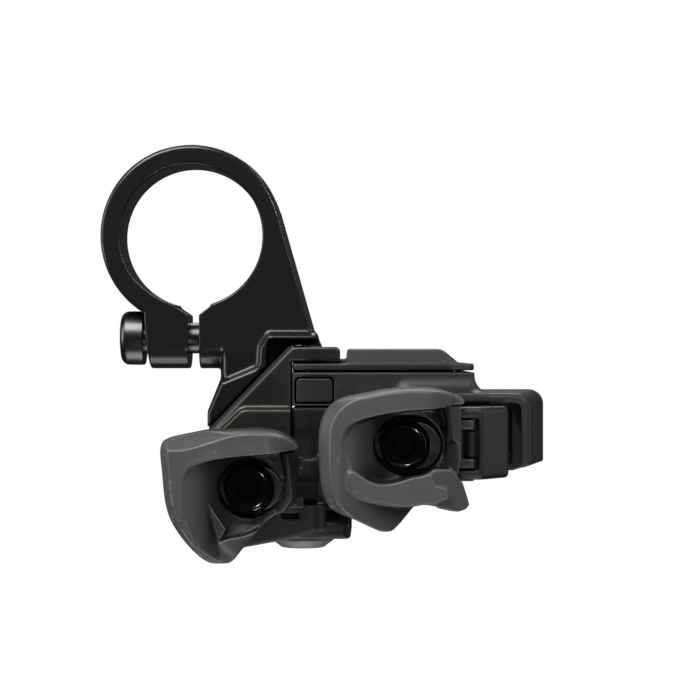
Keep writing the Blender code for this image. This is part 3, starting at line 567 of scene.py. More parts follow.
LID = finish("lid_plastic", (0.022, 0.022, 0.024), 0.45, grain=0.13, depth=0.006, wear_and_highlight=0.25,
             wear_and_highlight_colour=(0.07, 0.07, 0.075))
# the paddles' edges are lightened strongly, as a painted highlight along their rims and ridges
PADDLE_LOOK = {"colour": (0.078, 0.078, 0.079), "roughness": 0.38, "grain": 0.16, "depth": 0.01,
               "mottle": 0.14, "wear_and_highlight": 0.6, "wear_and_highlight_colour": (0.3, 0.3, 0.3)}
PADDLE = finish("paddle_plastic", **PADDLE_LOOK)
# paddle finishes with shade painted into the recess around each bolt
MAIN_PADDLE = finish("main_paddle_plastic", bolt="main_paddle_bolt", **PADDLE_LOOK)
RELEASE_PADDLE = finish("release_paddle_plastic", bolt="release_paddle_bolt", **PADDLE_LOOK)
BUTTON = finish("button_plastic", (0.015, 0.014, 0.012), 0.45, grain=0.1, depth=0.005)
SWITCH = finish("switch_plastic", (0.02, 0.02, 0.02), 0.55, grain=0.1, depth=0.004)
RUBBER = finish("seal_rubber", (0.012, 0.012, 0.012), 0.7, grain=0.1, depth=0.006)
BOARD = finish("board", (0.01, 0.07, 0.03), 0.4, grain=0.4, depth=0.004)

SLOT_FINISH = {
    "gloss_black_metal": GLOSS, "warm_black_metal": WARM, "black_steel": STEEL_BLACK,
    "bright_steel": BRIGHT, "cap_metal": CAP, "lever_metal": LEVER, "bushing_bronze": BRONZE,
    "housing_plastic": HOUSING, "lid_plastic": LID, "paddle_plastic": PADDLE, "button_plastic": BUTTON,
    "switch_plastic": SWITCH, "seal_rubber": RUBBER, "board": BOARD,
}


# ---------------------------------------------------------------- clamp and adapter

# Lengths are millimetres. An outline's points are across and up, each with a radius where it is rounded.

BAR_AXIS = (0, 0)  # in X and Z
PINCH_AXIS = (0, -16.0)  # in Y and Z
MOUNTING_AXIS = (8.6, -27.2)  # in X and Z
ADAPTER_SCREW_AXIS = (17.2, -3.0)  # in X and Y
CELL_AXIS = (30.5, 6.5)  # in X and Y
MAIN_AXIS = (47.5, 2.0)  # in X and Y
RELEASE_AXIS = (17.2, 5.0)  # in X and Y
THREAD_RADIUS = 2.1
SMALL_HOLE = 1.6
DIAGONAL = 0.7071  # sine and cosine of 45 degrees

RING_RADIUS = 14.26
BORE_RADIUS = 11.1
ARM_OUTLINE = [
    (0, 0), (13.7, 4.2), (19.65, -16.65, 0.8), (20.4, -17.6), (20.4, -19.3), (15.3, -19.3), (15.3, -20.7),
    (11.4, -20.7), (4.7, -23.1, 1.0), (4.7, -15.0), (1.0, -13.0),
]
EAR_OUTLINE = [(-5, -9), (5, -9), (5, -20.8, 3.9), (-5, -20.8, 3.9)]
FOOT_OUTLINE = [
    (4.2, -21.0), (15.2, -21.0), (15.2, -31.2, 1.0), (2.8, -31.2, 1.0), (2.2, -27.7, 1.0), (4.2, -22.6),
]
LIP_OUTLINE = [
    (2.6, -27.8), (4.7, -22.9), (10.6, -20.5, 1.2), (10.8, -17.4), (12.1, -15.5, 0.8), (19.5, -15.5, 0.3),
    (19.9, -17.1), (14.9, -17.1), (2.6, -30.4),
]
SLOT_OUTLINE = [
    (-0.52, -26), (1.18, -26), (1.18, -12.4), (2.98, -11.0), (2.98, -9.0), (-2.33, -9.0), (-2.33, -11.2),
    (-0.52, -12.4),
]


def past_slant(s):
    """Distance past the adapter's slanted edge, to the upper left."""
    return ((s.x - 15.2) * -13.1 + (s.z + 17.4) * 12.7) / 18.25


def clamp():
    """Split ring, rounded ears, the arm to the pod and the foot behind the adapter."""
    s = Space("clamp_bracket", MEDIUM, 2.0)
    ring = disc(s.x, s.z, BAR_AXIS, RING_RADIUS)
    rim = 0.75 + 0.55 * ramp(-s.z, 16.5, 20.0)
    arm = prism(add(ring, flat(rounded(ARM_OUTLINE), s.x, s.z)), s.y, -5.0, 5.0, rim)
    ears = prism(flat(rounded(EAR_OUTLINE, 10), s.y, s.z), s.x, -7.5, 5.2, 0.45)
    ears = keep(ears, -(s.x + 7.5) + 0.11 * (-12.6 - s.z), 0.3)
    foot = prism(flat(rounded(FOOT_OUTLINE), s.x, s.z), s.y, 0.6, 10.0, 0.6)
    body = add(add(arm, ears), foot, 0.5)
    # raised lip over the pocket, and the wedge beside the adapter's slanted edge
    lip = flat(rounded(LIP_OUTLINE), s.x, s.z)
    body = add(body, prism(lip, s.y, -6.4, 2.0, 0.7), 1.0)
    corner = keep(keep(11.8 - s.x, s.z + 16.2, 1.0), s.y - 0.5, 0.4)
    body = remove(body, corner, 0.3)
    beside = keep(past_slant(s) - 0.3, np.maximum(s.y - 0.5, s.z + 17.1))
    body = remove(body, beside, 0.15)
    body = remove(body, disc(s.x, s.z, BAR_AXIS, BORE_RADIUS), 0.35)
    body = remove(body, flat(SLOT_OUTLINE, s.x, s.z), 0.15)
    pinch = prism(disc(s.y, s.z, PINCH_AXIS, 2.6), s.x, -9, 5.3)
    seat = prism(disc(s.y, s.z, PINCH_AXIS, 4.6), s.x, -14, -7.55)
    thread = prism(disc(s.x, s.z, MOUNTING_AXIS, THREAD_RADIUS), s.y, -1, 12)
    body = remove(remove(remove(body, pinch, 0.2), seat), thread, 0.3)
    moulded(body, s, GLOSS, 0.5)
    screw("clamp_bolt", "X", -1, 3.7, 1.25, 2.45, 4.0, SATIN_STEEL)


PLATE_OUTLINE = [
    (15.2, -17.4), (23.25, -17.4, 0.8), (23.25, -19.7, 0.2), (15.68, -19.7), (15.68, -32.5),
    (3.4, -32.5, 0.6), (2.5, -30.5, 0.4),
]
LAYER_OUTLINE = [(8.2, -27.0, 1.8), (15.68, -27.0), (15.68, -32.2), (4.6, -32.2, 0.5), (4.4, -30.6, 0.5)]


def adapter():
    """Two-step plate between the clamp's foot and the pod, with its screw tab on top."""
    s = Space("mount_adapter", MEDIUM)
    body = prism(flat(rounded(PLATE_OUTLINE), s.x, s.z), s.y, -8.0, 0.2, 0.35)
    body = keep(body, (past_slant(s) + (-8.0 - s.y) + 0.75) * DIAGONAL, 0.15)
    layer = prism(flat(rounded(LAYER_OUTLINE), s.x, s.z), s.y, -9.6, -6.0, 0.4)
    body = keep(add(body, layer, 0.7), np.where(s.z < -19.75, s.x - 15.68, -1.0))
    sink = prism(disc(s.x, s.y, ADAPTER_SCREW_AXIS, 2.85), s.z, -18.6, -16.0)
    hole = prism(disc(s.x, s.y, ADAPTER_SCREW_AXIS, SMALL_HOLE), s.z, -22, -16)
    thread = prism(disc(s.x, s.z, MOUNTING_AXIS, THREAD_RADIUS), s.y, -6, 2)
    body = remove(remove(remove(body, sink, 0.2), hole), thread)
    moulded(body, s, WARM)
    screw("adapter_screw", "Z", 1, 1.4, 0.35, 1.4, 2.0, STEEL_BLACK)
    screw("mounting_bolt", "Y", 1, 2.4, 0.45, 1.95, 2.5, STEEL_BLACK)


# ---------------------------------------------------------------- pod

POD_FRONT_RADIUS = 0.6
POD_BACK_RADIUS = 2.5
POD_BACK = 21.0
SPLIT_HEIGHT = -26.55  # underside of the upper housing
SCREW_HOLE = 1.1
SCREW_SINK = 1.95
AXLE_HOLE = 1.4
PLUNGER_HOLE = 1.35
LID_SCREWS = ["lid_screw_1", "lid_screw_2", "lid_screw_3"]
HOUSING_SCREWS = ["housing_screw_1", "housing_screw_2", "housing_screw_3"]


def pod_plan(s, inset=0.0):
    """Flat distance to the pod's plan, rounded at its back corners."""
    low, high = corners_of("lid")
    left, front = low[0] + inset, low[1] + inset
    right, back = high[0] - inset, high[1] - inset
    plan = [(left, front, POD_FRONT_RADIUS), (right, front, POD_FRONT_RADIUS),
            (right, back, POD_BACK_RADIUS), (left, back, POD_BACK_RADIUS)]
    return flat(rounded(plan), s.x, s.y)


def upright_hole(s, centre, radius, low, high):
    """Round cutter along Z."""
    return prism(disc(s.x, s.y, centre, radius), s.z, low, high)


def drilled(s, body, centre, radius, low, high, rim=0.0):
    """Cut a round hole along Z."""
    return remove(body, upright_hole(s, centre, radius, low, high), rim)


def screw_holes(s, body, nodes, radius, low, high, rim=0.0):
    """Cut upright holes under a group of CAD screws."""
    for node in nodes:
        middle = middle_of(node)
        body = drilled(s, body, (middle.x, middle.y), radius, low, high, rim)
    return body


LID_TOP = -17.7
LID_SHOULDER = -20.0


def lid():
    """Battery lid with a raised, sloping plate."""
    s = Space("lid", MEDIUM)
    base = prism(pod_plan(s, 0.1), s.z, -21.05, LID_SHOULDER, 0.22)
    above_shoulder = s.z - LID_SHOULDER
    right_slope = ((s.x - 39.1) * 2.15 + (s.z - LID_TOP) * 2.7) / 3.45
    raised = keep(s.z - LID_TOP, right_slope, 0.4)
    raised = keep(raised, 24.1 - s.x + 0.12 * above_shoulder, 0.3)
    raised = keep(raised, ((-8.0 - s.y) + above_shoulder) * DIAGONAL, 0.3)
    raised = keep(raised, ((s.y - POD_BACK) + above_shoulder) * DIAGONAL, 0.3)
    raised = keep(raised, prism(pod_plan(s, 0.1), s.z, -20.6, -17.0))
    foot = keep(((s.x - 41.8) * 0.087 + (s.z + 19.85)), prism(pod_plan(s, 0.15), s.z, -21, -18))
    foot = keep(foot, 39.0 - s.x)
    seat = block(s, (16.4, 0.8, -20.6), (24.6, 20.4, -19.35), 0.4)
    body = add(add(add(base, raised, 0.25), foot), seat)
    body = remove(body, block(s, (25.6, -6.0, -23), (38.6, 19.0, -18.9), 0.5))
    body = drilled(s, body, ADAPTER_SCREW_AXIS, SMALL_HOLE, -22, -19)
    body = screw_holes(s, body, LID_SCREWS, SCREW_SINK, -20.6, -18)
    body = screw_holes(s, body, LID_SCREWS, SCREW_HOLE, -22, -19)
    moulded(body, s, LID)
    for node in LID_SCREWS:
        screw(node, "Z", 1, 0.55, 0.2, 0.95, 1.3, STEEL_BLACK)


HOOD_FRONT = -12.0
LEDGE_PLAN = [(33.4, -7.0), (33.4, -8.0), (36.9, -12.0), (46.0, -12.0), (46.0, -7.0)]
BUTTON_GAP = 0.25


def upper_housing():
    """Battery bay in one piece with the tapering hood, and the front ledge that runs into it."""
    s = Space("housing_upper", MEDIUM, 2.2)
    body = prism(pod_plan(s), s.z, SPLIT_HEIGHT, -21.35, 0.2)
    ledge = prism(flat(LEDGE_PLAN, s.x, s.y), s.z, SPLIT_HEIGHT, -24.5, 0.3)
    side = ((s.x - 52.4) * 33 - (s.y - HOOD_FRONT) * 5.4) / 33.44
    shell = keep(s.z + 24.5, side, 2.5)
    shell = keep(shell, s.y - POD_BACK, 2.4)
    bottom = np.maximum(-38.3, -36.2 + 0.32 * (s.x - 50) - 0.09 * (s.y - HOOD_FRONT))
    shell = keep(shell, np.maximum(42.0 - s.x, bottom - s.z), 0.2)
    shell = keep(shell, HOOD_FRONT - s.y, 0.7)
    body = add(body, add(ledge, shell, 0.1), 2.6)
    body = keep(body, np.where(s.x < 43.0, SPLIT_HEIGHT - s.z, -1.0))
    body = keep(body, keep(s.y - POD_BACK, 15.8 - s.x, 2.5))
    # the lever's room under the hood, and the battery's under the lid
    room = keep(s.z + 25.9, side + 1.5, 1.2)
    room = keep(keep(room, 40.0 - s.x), np.maximum(s.y - 19.5, -14.0 - s.y))
    inner = keep(room, np.where(s.z > SPLIT_HEIGHT, np.maximum(44.3 - s.x, -7.7 - s.y), -1.0))
    body = remove(body, add(inner, keep(room, np.maximum(-7.7 + s.y, 36.9 - s.x))), 0.2)
    cell = upright_hole(s, CELL_AXIS, 10.3, -26.0, -20)
    groove = prism(np.abs(disc(s.x, s.y, CELL_AXIS, 11.6)) - 0.6, s.z, -22.5, -20)
    contact = block(s, (28.5, 12, -28), (32.5, 14, -25))
    axle = upright_hole(s, MAIN_AXIS, AXLE_HOLE, -27, -25)
    corner = upright_hole(s, ADAPTER_SCREW_AXIS, SMALL_HOLE, -25.4, -20)
    for cutter in (cell, groove, contact, axle, corner):
        body = remove(body, cutter)
    low, high = corners_of("function_button")
    left, right = low[0] - BUTTON_GAP, high[0] + BUTTON_GAP
    under, over = low[2] - BUTTON_GAP, high[2] + BUTTON_GAP
    pocket = flat(rounded([(left, under, 0.2), (right, under, 0.2), (right, over, 0.8), (left, over, 0.8)]),
                  s.x, s.z)
    body = remove(body, prism(pocket, s.y, low[1] - 2, high[1] + 2.4), 0.15)
    body = screw_holes(s, body, LID_SCREWS, SCREW_HOLE, -23.8, -20)
    body = screw_holes(s, body, HOUSING_SCREWS, SCREW_HOLE, -28, -23)
    moulded(body, s, HOUSING, 0.5)


BASE_PLAN = [(15.9, -7.9, 0.6), (41.0, -7.9, 0.6), (41.0, 20.9, 2.5), (15.9, 20.9, 2.5)]
LUG_PLAN = [(40.0, -0.8), (49.6, -0.8, 2.0), (49.6, 4.8, 2.0), (40.0, 4.8)]


def lower_housing():
    """Electronics bay, its narrower base, and the lug under the main axle."""
    s = Space("housing_lower", MEDIUM)
    body = prism(pod_plan(s), s.z, -38.2, -26.8, 0.35)
    base = prism(flat(rounded(BASE_PLAN), s.x, s.y), s.z, -41.5, -36.0, 0.7)
    lug = prism(flat(rounded(LUG_PLAN), s.x, s.y), s.z, -38.2, -37.2, 0.25)
    body = add(add(body, base), lug)
    body = remove(body, block(s, (17.3, -6.5, -37.2), (42.6, 19.5, -26)))
    body = remove(body, block(s, (17.3, -6.5, -40.0), (39.5, 19.5, -37)))
    boss = upright_hole(s, RELEASE_AXIS, 3.8, -40.5, -36.8)
    body = add(body, keep(boss, 16.0 - s.x))
    body = drilled(s, body, RELEASE_AXIS, 1.9, -43, -36, 0.2)
    body = drilled(s, body, MAIN_AXIS, AXLE_HOLE, -40, -36)
    body = remove(body, prism(disc(s.y, s.z, (8.0, -31.5), PLUNGER_HOLE), s.x, 42, 46))
    body = remove(body, prism(disc(s.y, s.z, (-4.0, -38.2), PLUNGER_HOLE), s.x, 14, 18))
    body = screw_holes(s, body, HOUSING_SCREWS, SCREW_HOLE, -43, -39)
    body = screw_holes(s, body, HOUSING_SCREWS, SCREW_SINK, -43, -40.5, 0.15)
    moulded(body, s, LOWER, 0.4)
    for node in HOUSING_SCREWS:
        screw(node, "Z", -1, 0.7, 0.25, 0.95, 1.3, STEEL_BLACK)


CROWN_HEIGHT = 0.12
CROWN_REACH = 3.2


def button():
    """Function button, with a slightly crowned face."""
    s = Space("function_button", FINE / 1.5)
    low, high = corners_of("function_button")
    face = [(low[0], low[2], 0.3), (high[0], low[2], 0.3), (high[0], high[2], 0.7), (low[0], high[2], 0.7)]
    across = (s.x - (low[0] + high[0]) / 2) / CROWN_REACH
    crown = low[1] + CROWN_HEIGHT - CROWN_HEIGHT * (1 - across ** 2)
    body = prism(flat(rounded(face), s.x, s.z), s.y, low[1], high[1], 0.25)
    body = keep(body, crown - s.y, 0.2)
    moulded(body, s, BUTTON)


# ---------------------------------------------------------------- levers

MAIN_LEVER_PLAN = [
    (40.8, -19.5), (44.5, -19.5, 0.9), (51.2, 6.0, 2.0), (49.8, 10.0, 1.2), (45.6, 10.0, 0.5), (45.6, 4.5),
    (44.7, 3.0), (44.7, -8.6), (40.8, -8.6),
]
CHEEK_PLAN = [(39.8, -19.5), (44.5, -19.5, 0.5), (48.7, -14.6, 1.2), (48.9, -12.7, 0.3), (43.0, -12.7)]
CHANNEL_PLAN = [(36.0, -15.3), (44.2, -15.3), (46.0, -8.0), (36.0, -8.0)]
BOLT_SLOT_RADIUS = 2.15
PLATE_CUT = (-19, -14)  # stations in Y of a cut through a lever's plate


def main_lever():
    """Channel-shaped lever under the hood, with the plate that the paddle is bolted to."""
    s = Space("main_lever", MEDIUM)
    body = prism(flat(rounded(MAIN_LEVER_PLAN), s.x, s.y), s.z, -36.9, -26.9, 0.8)
    plate = block(s, (27.6, -17.9, -36.4), (42.5, -15.3, -27.4), 0.6)
    cheek = prism(flat(rounded(CHEEK_PLAN), s.x, s.y), s.z, -37.2, -26.4, 0.7)
    body = add(body, cheek)
    mouth = block(s, (36.0, -23.0, -35.8), (43.9, -17.9, -28.0), 0.5)
    channel = prism(flat(CHANNEL_PLAN, s.x, s.y), s.z, -35.6, -28.2, 0.3)
    body = remove(add(body, plate), mouth, 0.25)
    body = remove(body, channel, 0.2)
    post = prism(disc(s.x, s.y, (42.9, -17.4), 1.2), s.z, -33.9, -30.0, 0.3)
    body = add(body, keep(post, s.y + 16.5), 0.2)
    body = drilled(s, body, MAIN_AXIS, 1.9, -38, -26, 0.2)
    body = drilled(s, body, MAIN_AXIS, 3.4, -38, -34.6, 0.2)
    slot = stadium(s.x, s.z, (31.9, -31.9), (32.7, -31.9), BOLT_SLOT_RADIUS)
    body = remove(body, prism(slot, s.y, *PLATE_CUT), 0.2)
    moulded(body, s, LEVER)


RELEASE_LEVER_PLAN = [
    (9.6, -17.4), (24.9, -17.4, 1.4), (25.1, -3.0, 3.0), (23.6, 4.0), (10.8, 4.0), (9.6, -2.0),
]
RELEASE_PLATE_OUTLINE = [
    (5.0, -35.0, 1.5), (19.9, -34.0, 0.4), (19.9, -45.0), (16.3, -46.1, 0.5), (8.6, -47.5, 0.8),
    (5.0, -44.0, 1.0),
]


def release_lever():
    """Lever under the pod: flange, hub, and the plate that the release paddle is bolted to."""
    s = Space("release_lever", MEDIUM)
    body = prism(flat(rounded(RELEASE_LEVER_PLAN), s.x, s.y), s.z, -46.2, -43.6, 0.5)
    hub = prism(disc(s.x, s.y, RELEASE_AXIS, 6.8), s.z, -47.5, -42.2, 0.6)
    plate = prism(flat(rounded(RELEASE_PLATE_OUTLINE), s.x, s.z), s.y, -17.6, -15.2, 0.45)
    web = block(s, (19.7, -17.5, -45.0), (21.1, -9.2, -33.4), 0.4)
    rib = block(s, (12.4, -6.0, -45.0), (14.0, -2.0, -36.3), 0.3)
    body = add(add(add(body, hub, 0.4), plate), web)
    body = add(body, rib, 0.4)
    body = drilled(s, body, RELEASE_AXIS, 2.45, -49, -42, 0.2)
    body = drilled(s, body, RELEASE_AXIS, 5.4, -45.2, -41, 0.2)
    slot = stadium(s.x, s.z, (8.4, -38.2), (9.9, -38.2), BOLT_SLOT_RADIUS)
    body = remove(body, prism(slot, s.y, *PLATE_CUT), 0.2)
    body = remove(body, block(s, (16.9, -19.0, -41.2), (22.0, -14.6, -34.6), 0.3), 0.15)
    body = remove(body, block(s, (14.6, -19.0, -43.1), (17.1, -16.0, -42.2), 0.2), 0.1)
    moulded(body, s, LEVER)


CAP_BORE = 1.9
CAP_BORE_TOP = 0.6
CAP_RIM = 1.35
CAP_FACE = 3.4


def pivot_cap():
    """Turned cap under the release lever's hub."""
    low, high = corners_of("pivot_cap")
    radius = (high[0] - low[0]) / 2
    top = high[2] - low[2]
    profile = [(0.0, CAP_BORE_TOP), (CAP_BORE, CAP_BORE_TOP), (CAP_BORE, top), (radius - 0.2, top),
               (radius, top - 0.2), (radius, CAP_RIM)]
    profile += quarter(radius - 0.25, CAP_RIM, 0.25, 0, -40, 4)[1:]
    profile += quarter(CAP_FACE, 0.3, 0.3, -40, -90, 4) + [(0.0, 0.0)]
    obj = turned("pivot_cap_look", profile, 96)
    crease(obj.data)
    middle = (low + high) / 2
    obj.data.transform(Matrix.Translation(Vector((middle[0], middle[1], low[2])) * MM))
    dress(obj, "pivot_cap", CAP)


# ---------------------------------------------------------------- paddles

SHANK_HOLE = 2.1
HEAD_ROOM = 3.8
RECESS_DEEP = -20.3


def bolt_recess(s, body, centre, stations, reach, radius, crescent_reach, crescent_radius, crescent_front):
    """Sink the bolt's head into the scoop's floor, and leave a crescent beside it. A reach is how far a
    round is drawn out to the right."""
    x, z = centre
    front, back = stations
    recess = prism(stadium(s.x, s.z, centre, (x + reach, z), radius), s.y, front - 2, RECESS_DEEP, 0.2)
    crescent = stadium(s.x, s.z, centre, (x + crescent_reach, z), crescent_radius)
    crescent = prism(crescent, s.y, crescent_front, -18.5, 0.25)
    crescent = remove(crescent, prism(disc(s.x, s.z, centre, HEAD_ROOM), s.y, front, back))
    return add(remove(body, recess, 0.3), crescent, 0.15)


def folded_wall(s, body, outline, crest, front, back):
    """Add a wall whose face folds along an upright crest."""
    wall = keep(flat(outline, s.x, s.z), (front + 0.75 * np.abs(s.x - crest) - s.y) / 1.25, 0.15)
    return add(body, keep(wall, s.y - back - 0.1), 0.2)


def shank_hole(s, body, centre):
    """Cut the paddle's bolt hole."""
    return remove(body, prism(disc(s.x, s.z, centre, SHANK_HOLE), s.y, -23, -17))


# A third value marks a sharp corner of an outline that otherwise flows.
MAIN_EDGE = [
    (20.2, -32.0), (20.35, -29.3), (21.0, -27.2), (22.4, -25.6), (24.4, -24.75), (27.1, -24.2),
    (29.9, -23.65), (32.9, -23.35), (35.3, -23.35), (37.3, -23.5), (39.5, -24.1), (41.2, -24.8, 1),
    (41.55, -25.6, 1), (40.8, -26.3, 1), (40.8, -36.7, 1), (41.3, -37.2, 1), (42.2, -40.4, 1),
    (41.6, -41.1, 1), (40.3, -41.45), (37.5, -40.95), (35.6, -40.65), (34.1, -40.85, 1), (32.7, -42.5),
    (31.5, -43.8), (30.8, -44.3), (29.4, -44.35), (28.4, -44.0), (25.6, -42.7), (23.0, -41.55),
    (21.7, -40.6), (20.8, -38.4), (20.35, -35.5),
]
MAIN_SCOOP_ROOF = [
    (26.4, -28.05), (29.3, -27.3), (32.8, -26.75), (36.0, -26.5), (38.1, -26.3), (39.6, -25.95, 1),
]
MAIN_ARM_TOP = [(25.6, -35.4), (27.9, -36.95), (30.0, -37.25), (33.0, -36.55), (35.6, -35.4)]
MAIN_UPPER_ARM = (
    [(19.0, -22.0, 1), (39.9, -22.0, 1)] + MAIN_SCOOP_ROOF[::-1]
    + [(24.9, -28.8), (23.9, -30.5), (23.4, -33.0, 1), (19.0, -33.0, 1)]
)
MAIN_LOWER_ARM = MAIN_ARM_TOP + [
    (36.6, -35.9, 1), (36.9, -37.3, 1), (37.4, -37.6, 1), (38.75, -37.8, 1), (39.0, -39.3, 1), (36.8, -40.1),
    (34.1, -40.4), (31.5, -40.3), (28.3, -39.65), (26.0, -38.8), (24.9, -37.4), (24.8, -36.0),
]
MAIN_TIP = [(39.0, -24.0), (42.0, -24.0), (42.0, -25.9), (39.0, -25.9)]
MAIN_END_BLOCK = [
    (34.6, -35.0), (39.4, -35.2), (41.2, -37.0), (43.0, -41.5), (38.0, -42.0), (36.6, -39.5), (36.0, -37.0),
]
MAIN_SCOOP = (
    [(23.6, -31.6), (24.2, -29.8), (25.1, -28.7)] + MAIN_SCOOP_ROOF
    + [(44.0, -25.5, 1), (44.0, -35.0, 1), (38.6, -34.6, 1)] + MAIN_ARM_TOP[::-1] + [(24.2, -33.6)]
)
MAIN_SCOOP_FLOOR = -22.3
MAIN_WALL = [
    (38.2, -26.0), (41.1, -26.0), (41.1, -33.0), (40.6, -36.2), (37.2, -36.2), (38.9, -33.2), (39.0, -29.0),
]
MAIN_TAB_HEIGHTS = [(-29.7, -28.3), (-35.5, -34.1)]


def main_paddle():
    """Scoop-shaped thumb paddle, open towards +X, with an arm above and below the bolt's recess."""
    s = Space("main_paddle", FINE)
    front, back = (corner[1] for corner in corners_of("main_paddle"))
    edge = flat(flowing(MAIN_EDGE), s.x, s.z)
    solid = prism(edge, s.y, front, back, 0.45)
    breadth = 0.45 + 1.35 * ramp(-s.x, -26.0, -21.5)
    solid = keep(solid, slanted_rim(edge, s.y, front, breadth, 2.3), 0.35)
    # face that falls back to the right, which shows between the arms and on the lobe below them
    fall = (front + 0.42 * (s.x - 23.2) - s.y) / 1.085
    upper = keep(flat(flowing(MAIN_UPPER_ARM), s.x, s.z), (front + 0.5 * (s.x - 36.4) - s.y) / 1.118, 0.1)
    tip = keep(flat(MAIN_TIP, s.x, s.z), front + 2.4 - s.y, 0.2)
    lower = keep(flat(flowing(MAIN_LOWER_ARM), s.x, s.z), front + 0.25 - s.y, 0.15)
    end_face = (front + 1.3 + 0.3 * (s.x - 38.9) - s.y) / 1.044
    end_block = keep(flat(MAIN_END_BLOCK, s.x, s.z), end_face, 0.3)
    face = add(add(keep(fall, front - s.y), upper, 1.1), lower, 0.9)
    face = add(add(face, end_block, 0.25), tip, 0.1)
    body = keep(keep(solid, face, 0.3), front - s.y)
    # scoop: an incline from the left edge down to the floor around the bolt
    incline = (s.y - (front + 0.95 * (s.x - 23.7))) / 1.38
    cutter = keep(flat(flowing(MAIN_SCOOP), s.x, s.z), keep(incline, s.y - MAIN_SCOOP_FLOOR, 2.0), 0.5)
    body = remove(body, cutter, 0.2 + 0.35 * ramp(-s.x, -27.0, -24.0))
    bolt = middle_of("main_paddle_bolt")
    centre = (bolt.x, bolt.z)
    body = bolt_recess(s, body, centre, (front, back), 1.3, 4.35, 1.9, 3.5, -22.6)
    # wall between the recess and the lever's mouth
    crest = 39.15 + 0.15 * (-25.5 - s.z) + 0.5 * ramp(-s.z, 31.0, 31.6)
    body = shank_hole(s, folded_wall(s, body, MAIN_WALL, crest, -24.2, back), centre)
    for low, high in MAIN_TAB_HEIGHTS:
        body = add(body, block(s, (39.0, -19.3, low), (43.2, back, high), 0.2), 0.1)
    moulded(body, s, MAIN_PADDLE)


RELEASE_EDGE = [
    (-2.75, -32.4), (-2.3, -31.1), (-1.4, -30.7), (1.2, -30.15), (3.9, -29.65), (6.4, -29.6), (9.0, -29.5),
    (11.6, -29.45), (13.6, -29.7), (15.4, -30.4), (16.7, -31.3), (17.3, -32.0, 1), (16.8, -33.0, 1),
    (16.8, -40.6, 1), (14.0, -42.0), (12.0, -43.6), (10.3, -45.6), (9.2, -46.8), (7.9, -48.4),
    (7.2, -48.9, 1), (4.7, -48.85), (3.2, -48.1), (1.5, -46.5), (-0.1, -44.5), (-1.4, -42.2), (-2.1, -39.5),
    (-2.5, -35.5),
]
RELEASE_SCOOP_ROOF = [(4.0, -34.05), (7.0, -33.5), (10.7, -33.15), (14.4, -32.8), (16.3, -32.5, 1)]
RELEASE_UPPER_ARM = (
    [(-4.0, -28.5, 1), (19.0, -28.5, 1), (19.0, -32.4, 1)] + RELEASE_SCOOP_ROOF[::-1]
    + [(2.2, -34.9), (1.1, -36.0), (0.2, -38.0, 1), (-4.0, -38.0, 1)]
)
RELEASE_SCOOP = [(0.3, -38.5), (0.8, -36.3), (2.0, -34.9)] + RELEASE_SCOOP_ROOF + [
    (20.0, -32.0, 1), (20.0, -41.0, 1), (15.0, -42.4), (10.0, -44.7), (7.0, -45.3, 1), (5.7, -45.9, 1),
    (6.2, -48.3, 1), (5.3, -48.1), (3.2, -46.4), (1.3, -44.3), (0.3, -41.8),
]
RELEASE_APRON = [
    (0.2, -42.6), (0.6, -43.7), (1.9, -45.3), (3.9, -46.8), (6.6, -48.7), (8.0, -51.0), (20.0, -51.0),
    (20.0, -38.0), (8.0, -38.0),
]
RELEASE_RIB = [(4.4, -40.4), (6.8, -44.0), (5.7, -46.0), (5.1, -43.5)]
RELEASE_WALL = [
    (14.6, -33.0), (17.0, -33.0), (17.1, -38.0), (16.7, -40.4), (14.2, -42.0), (13.2, -41.4), (15.0, -39.2),
    (15.4, -36.0),
]
RELEASE_TAB_HEIGHTS = [(-35.6, -33.8), (-41.4, -39.7)]


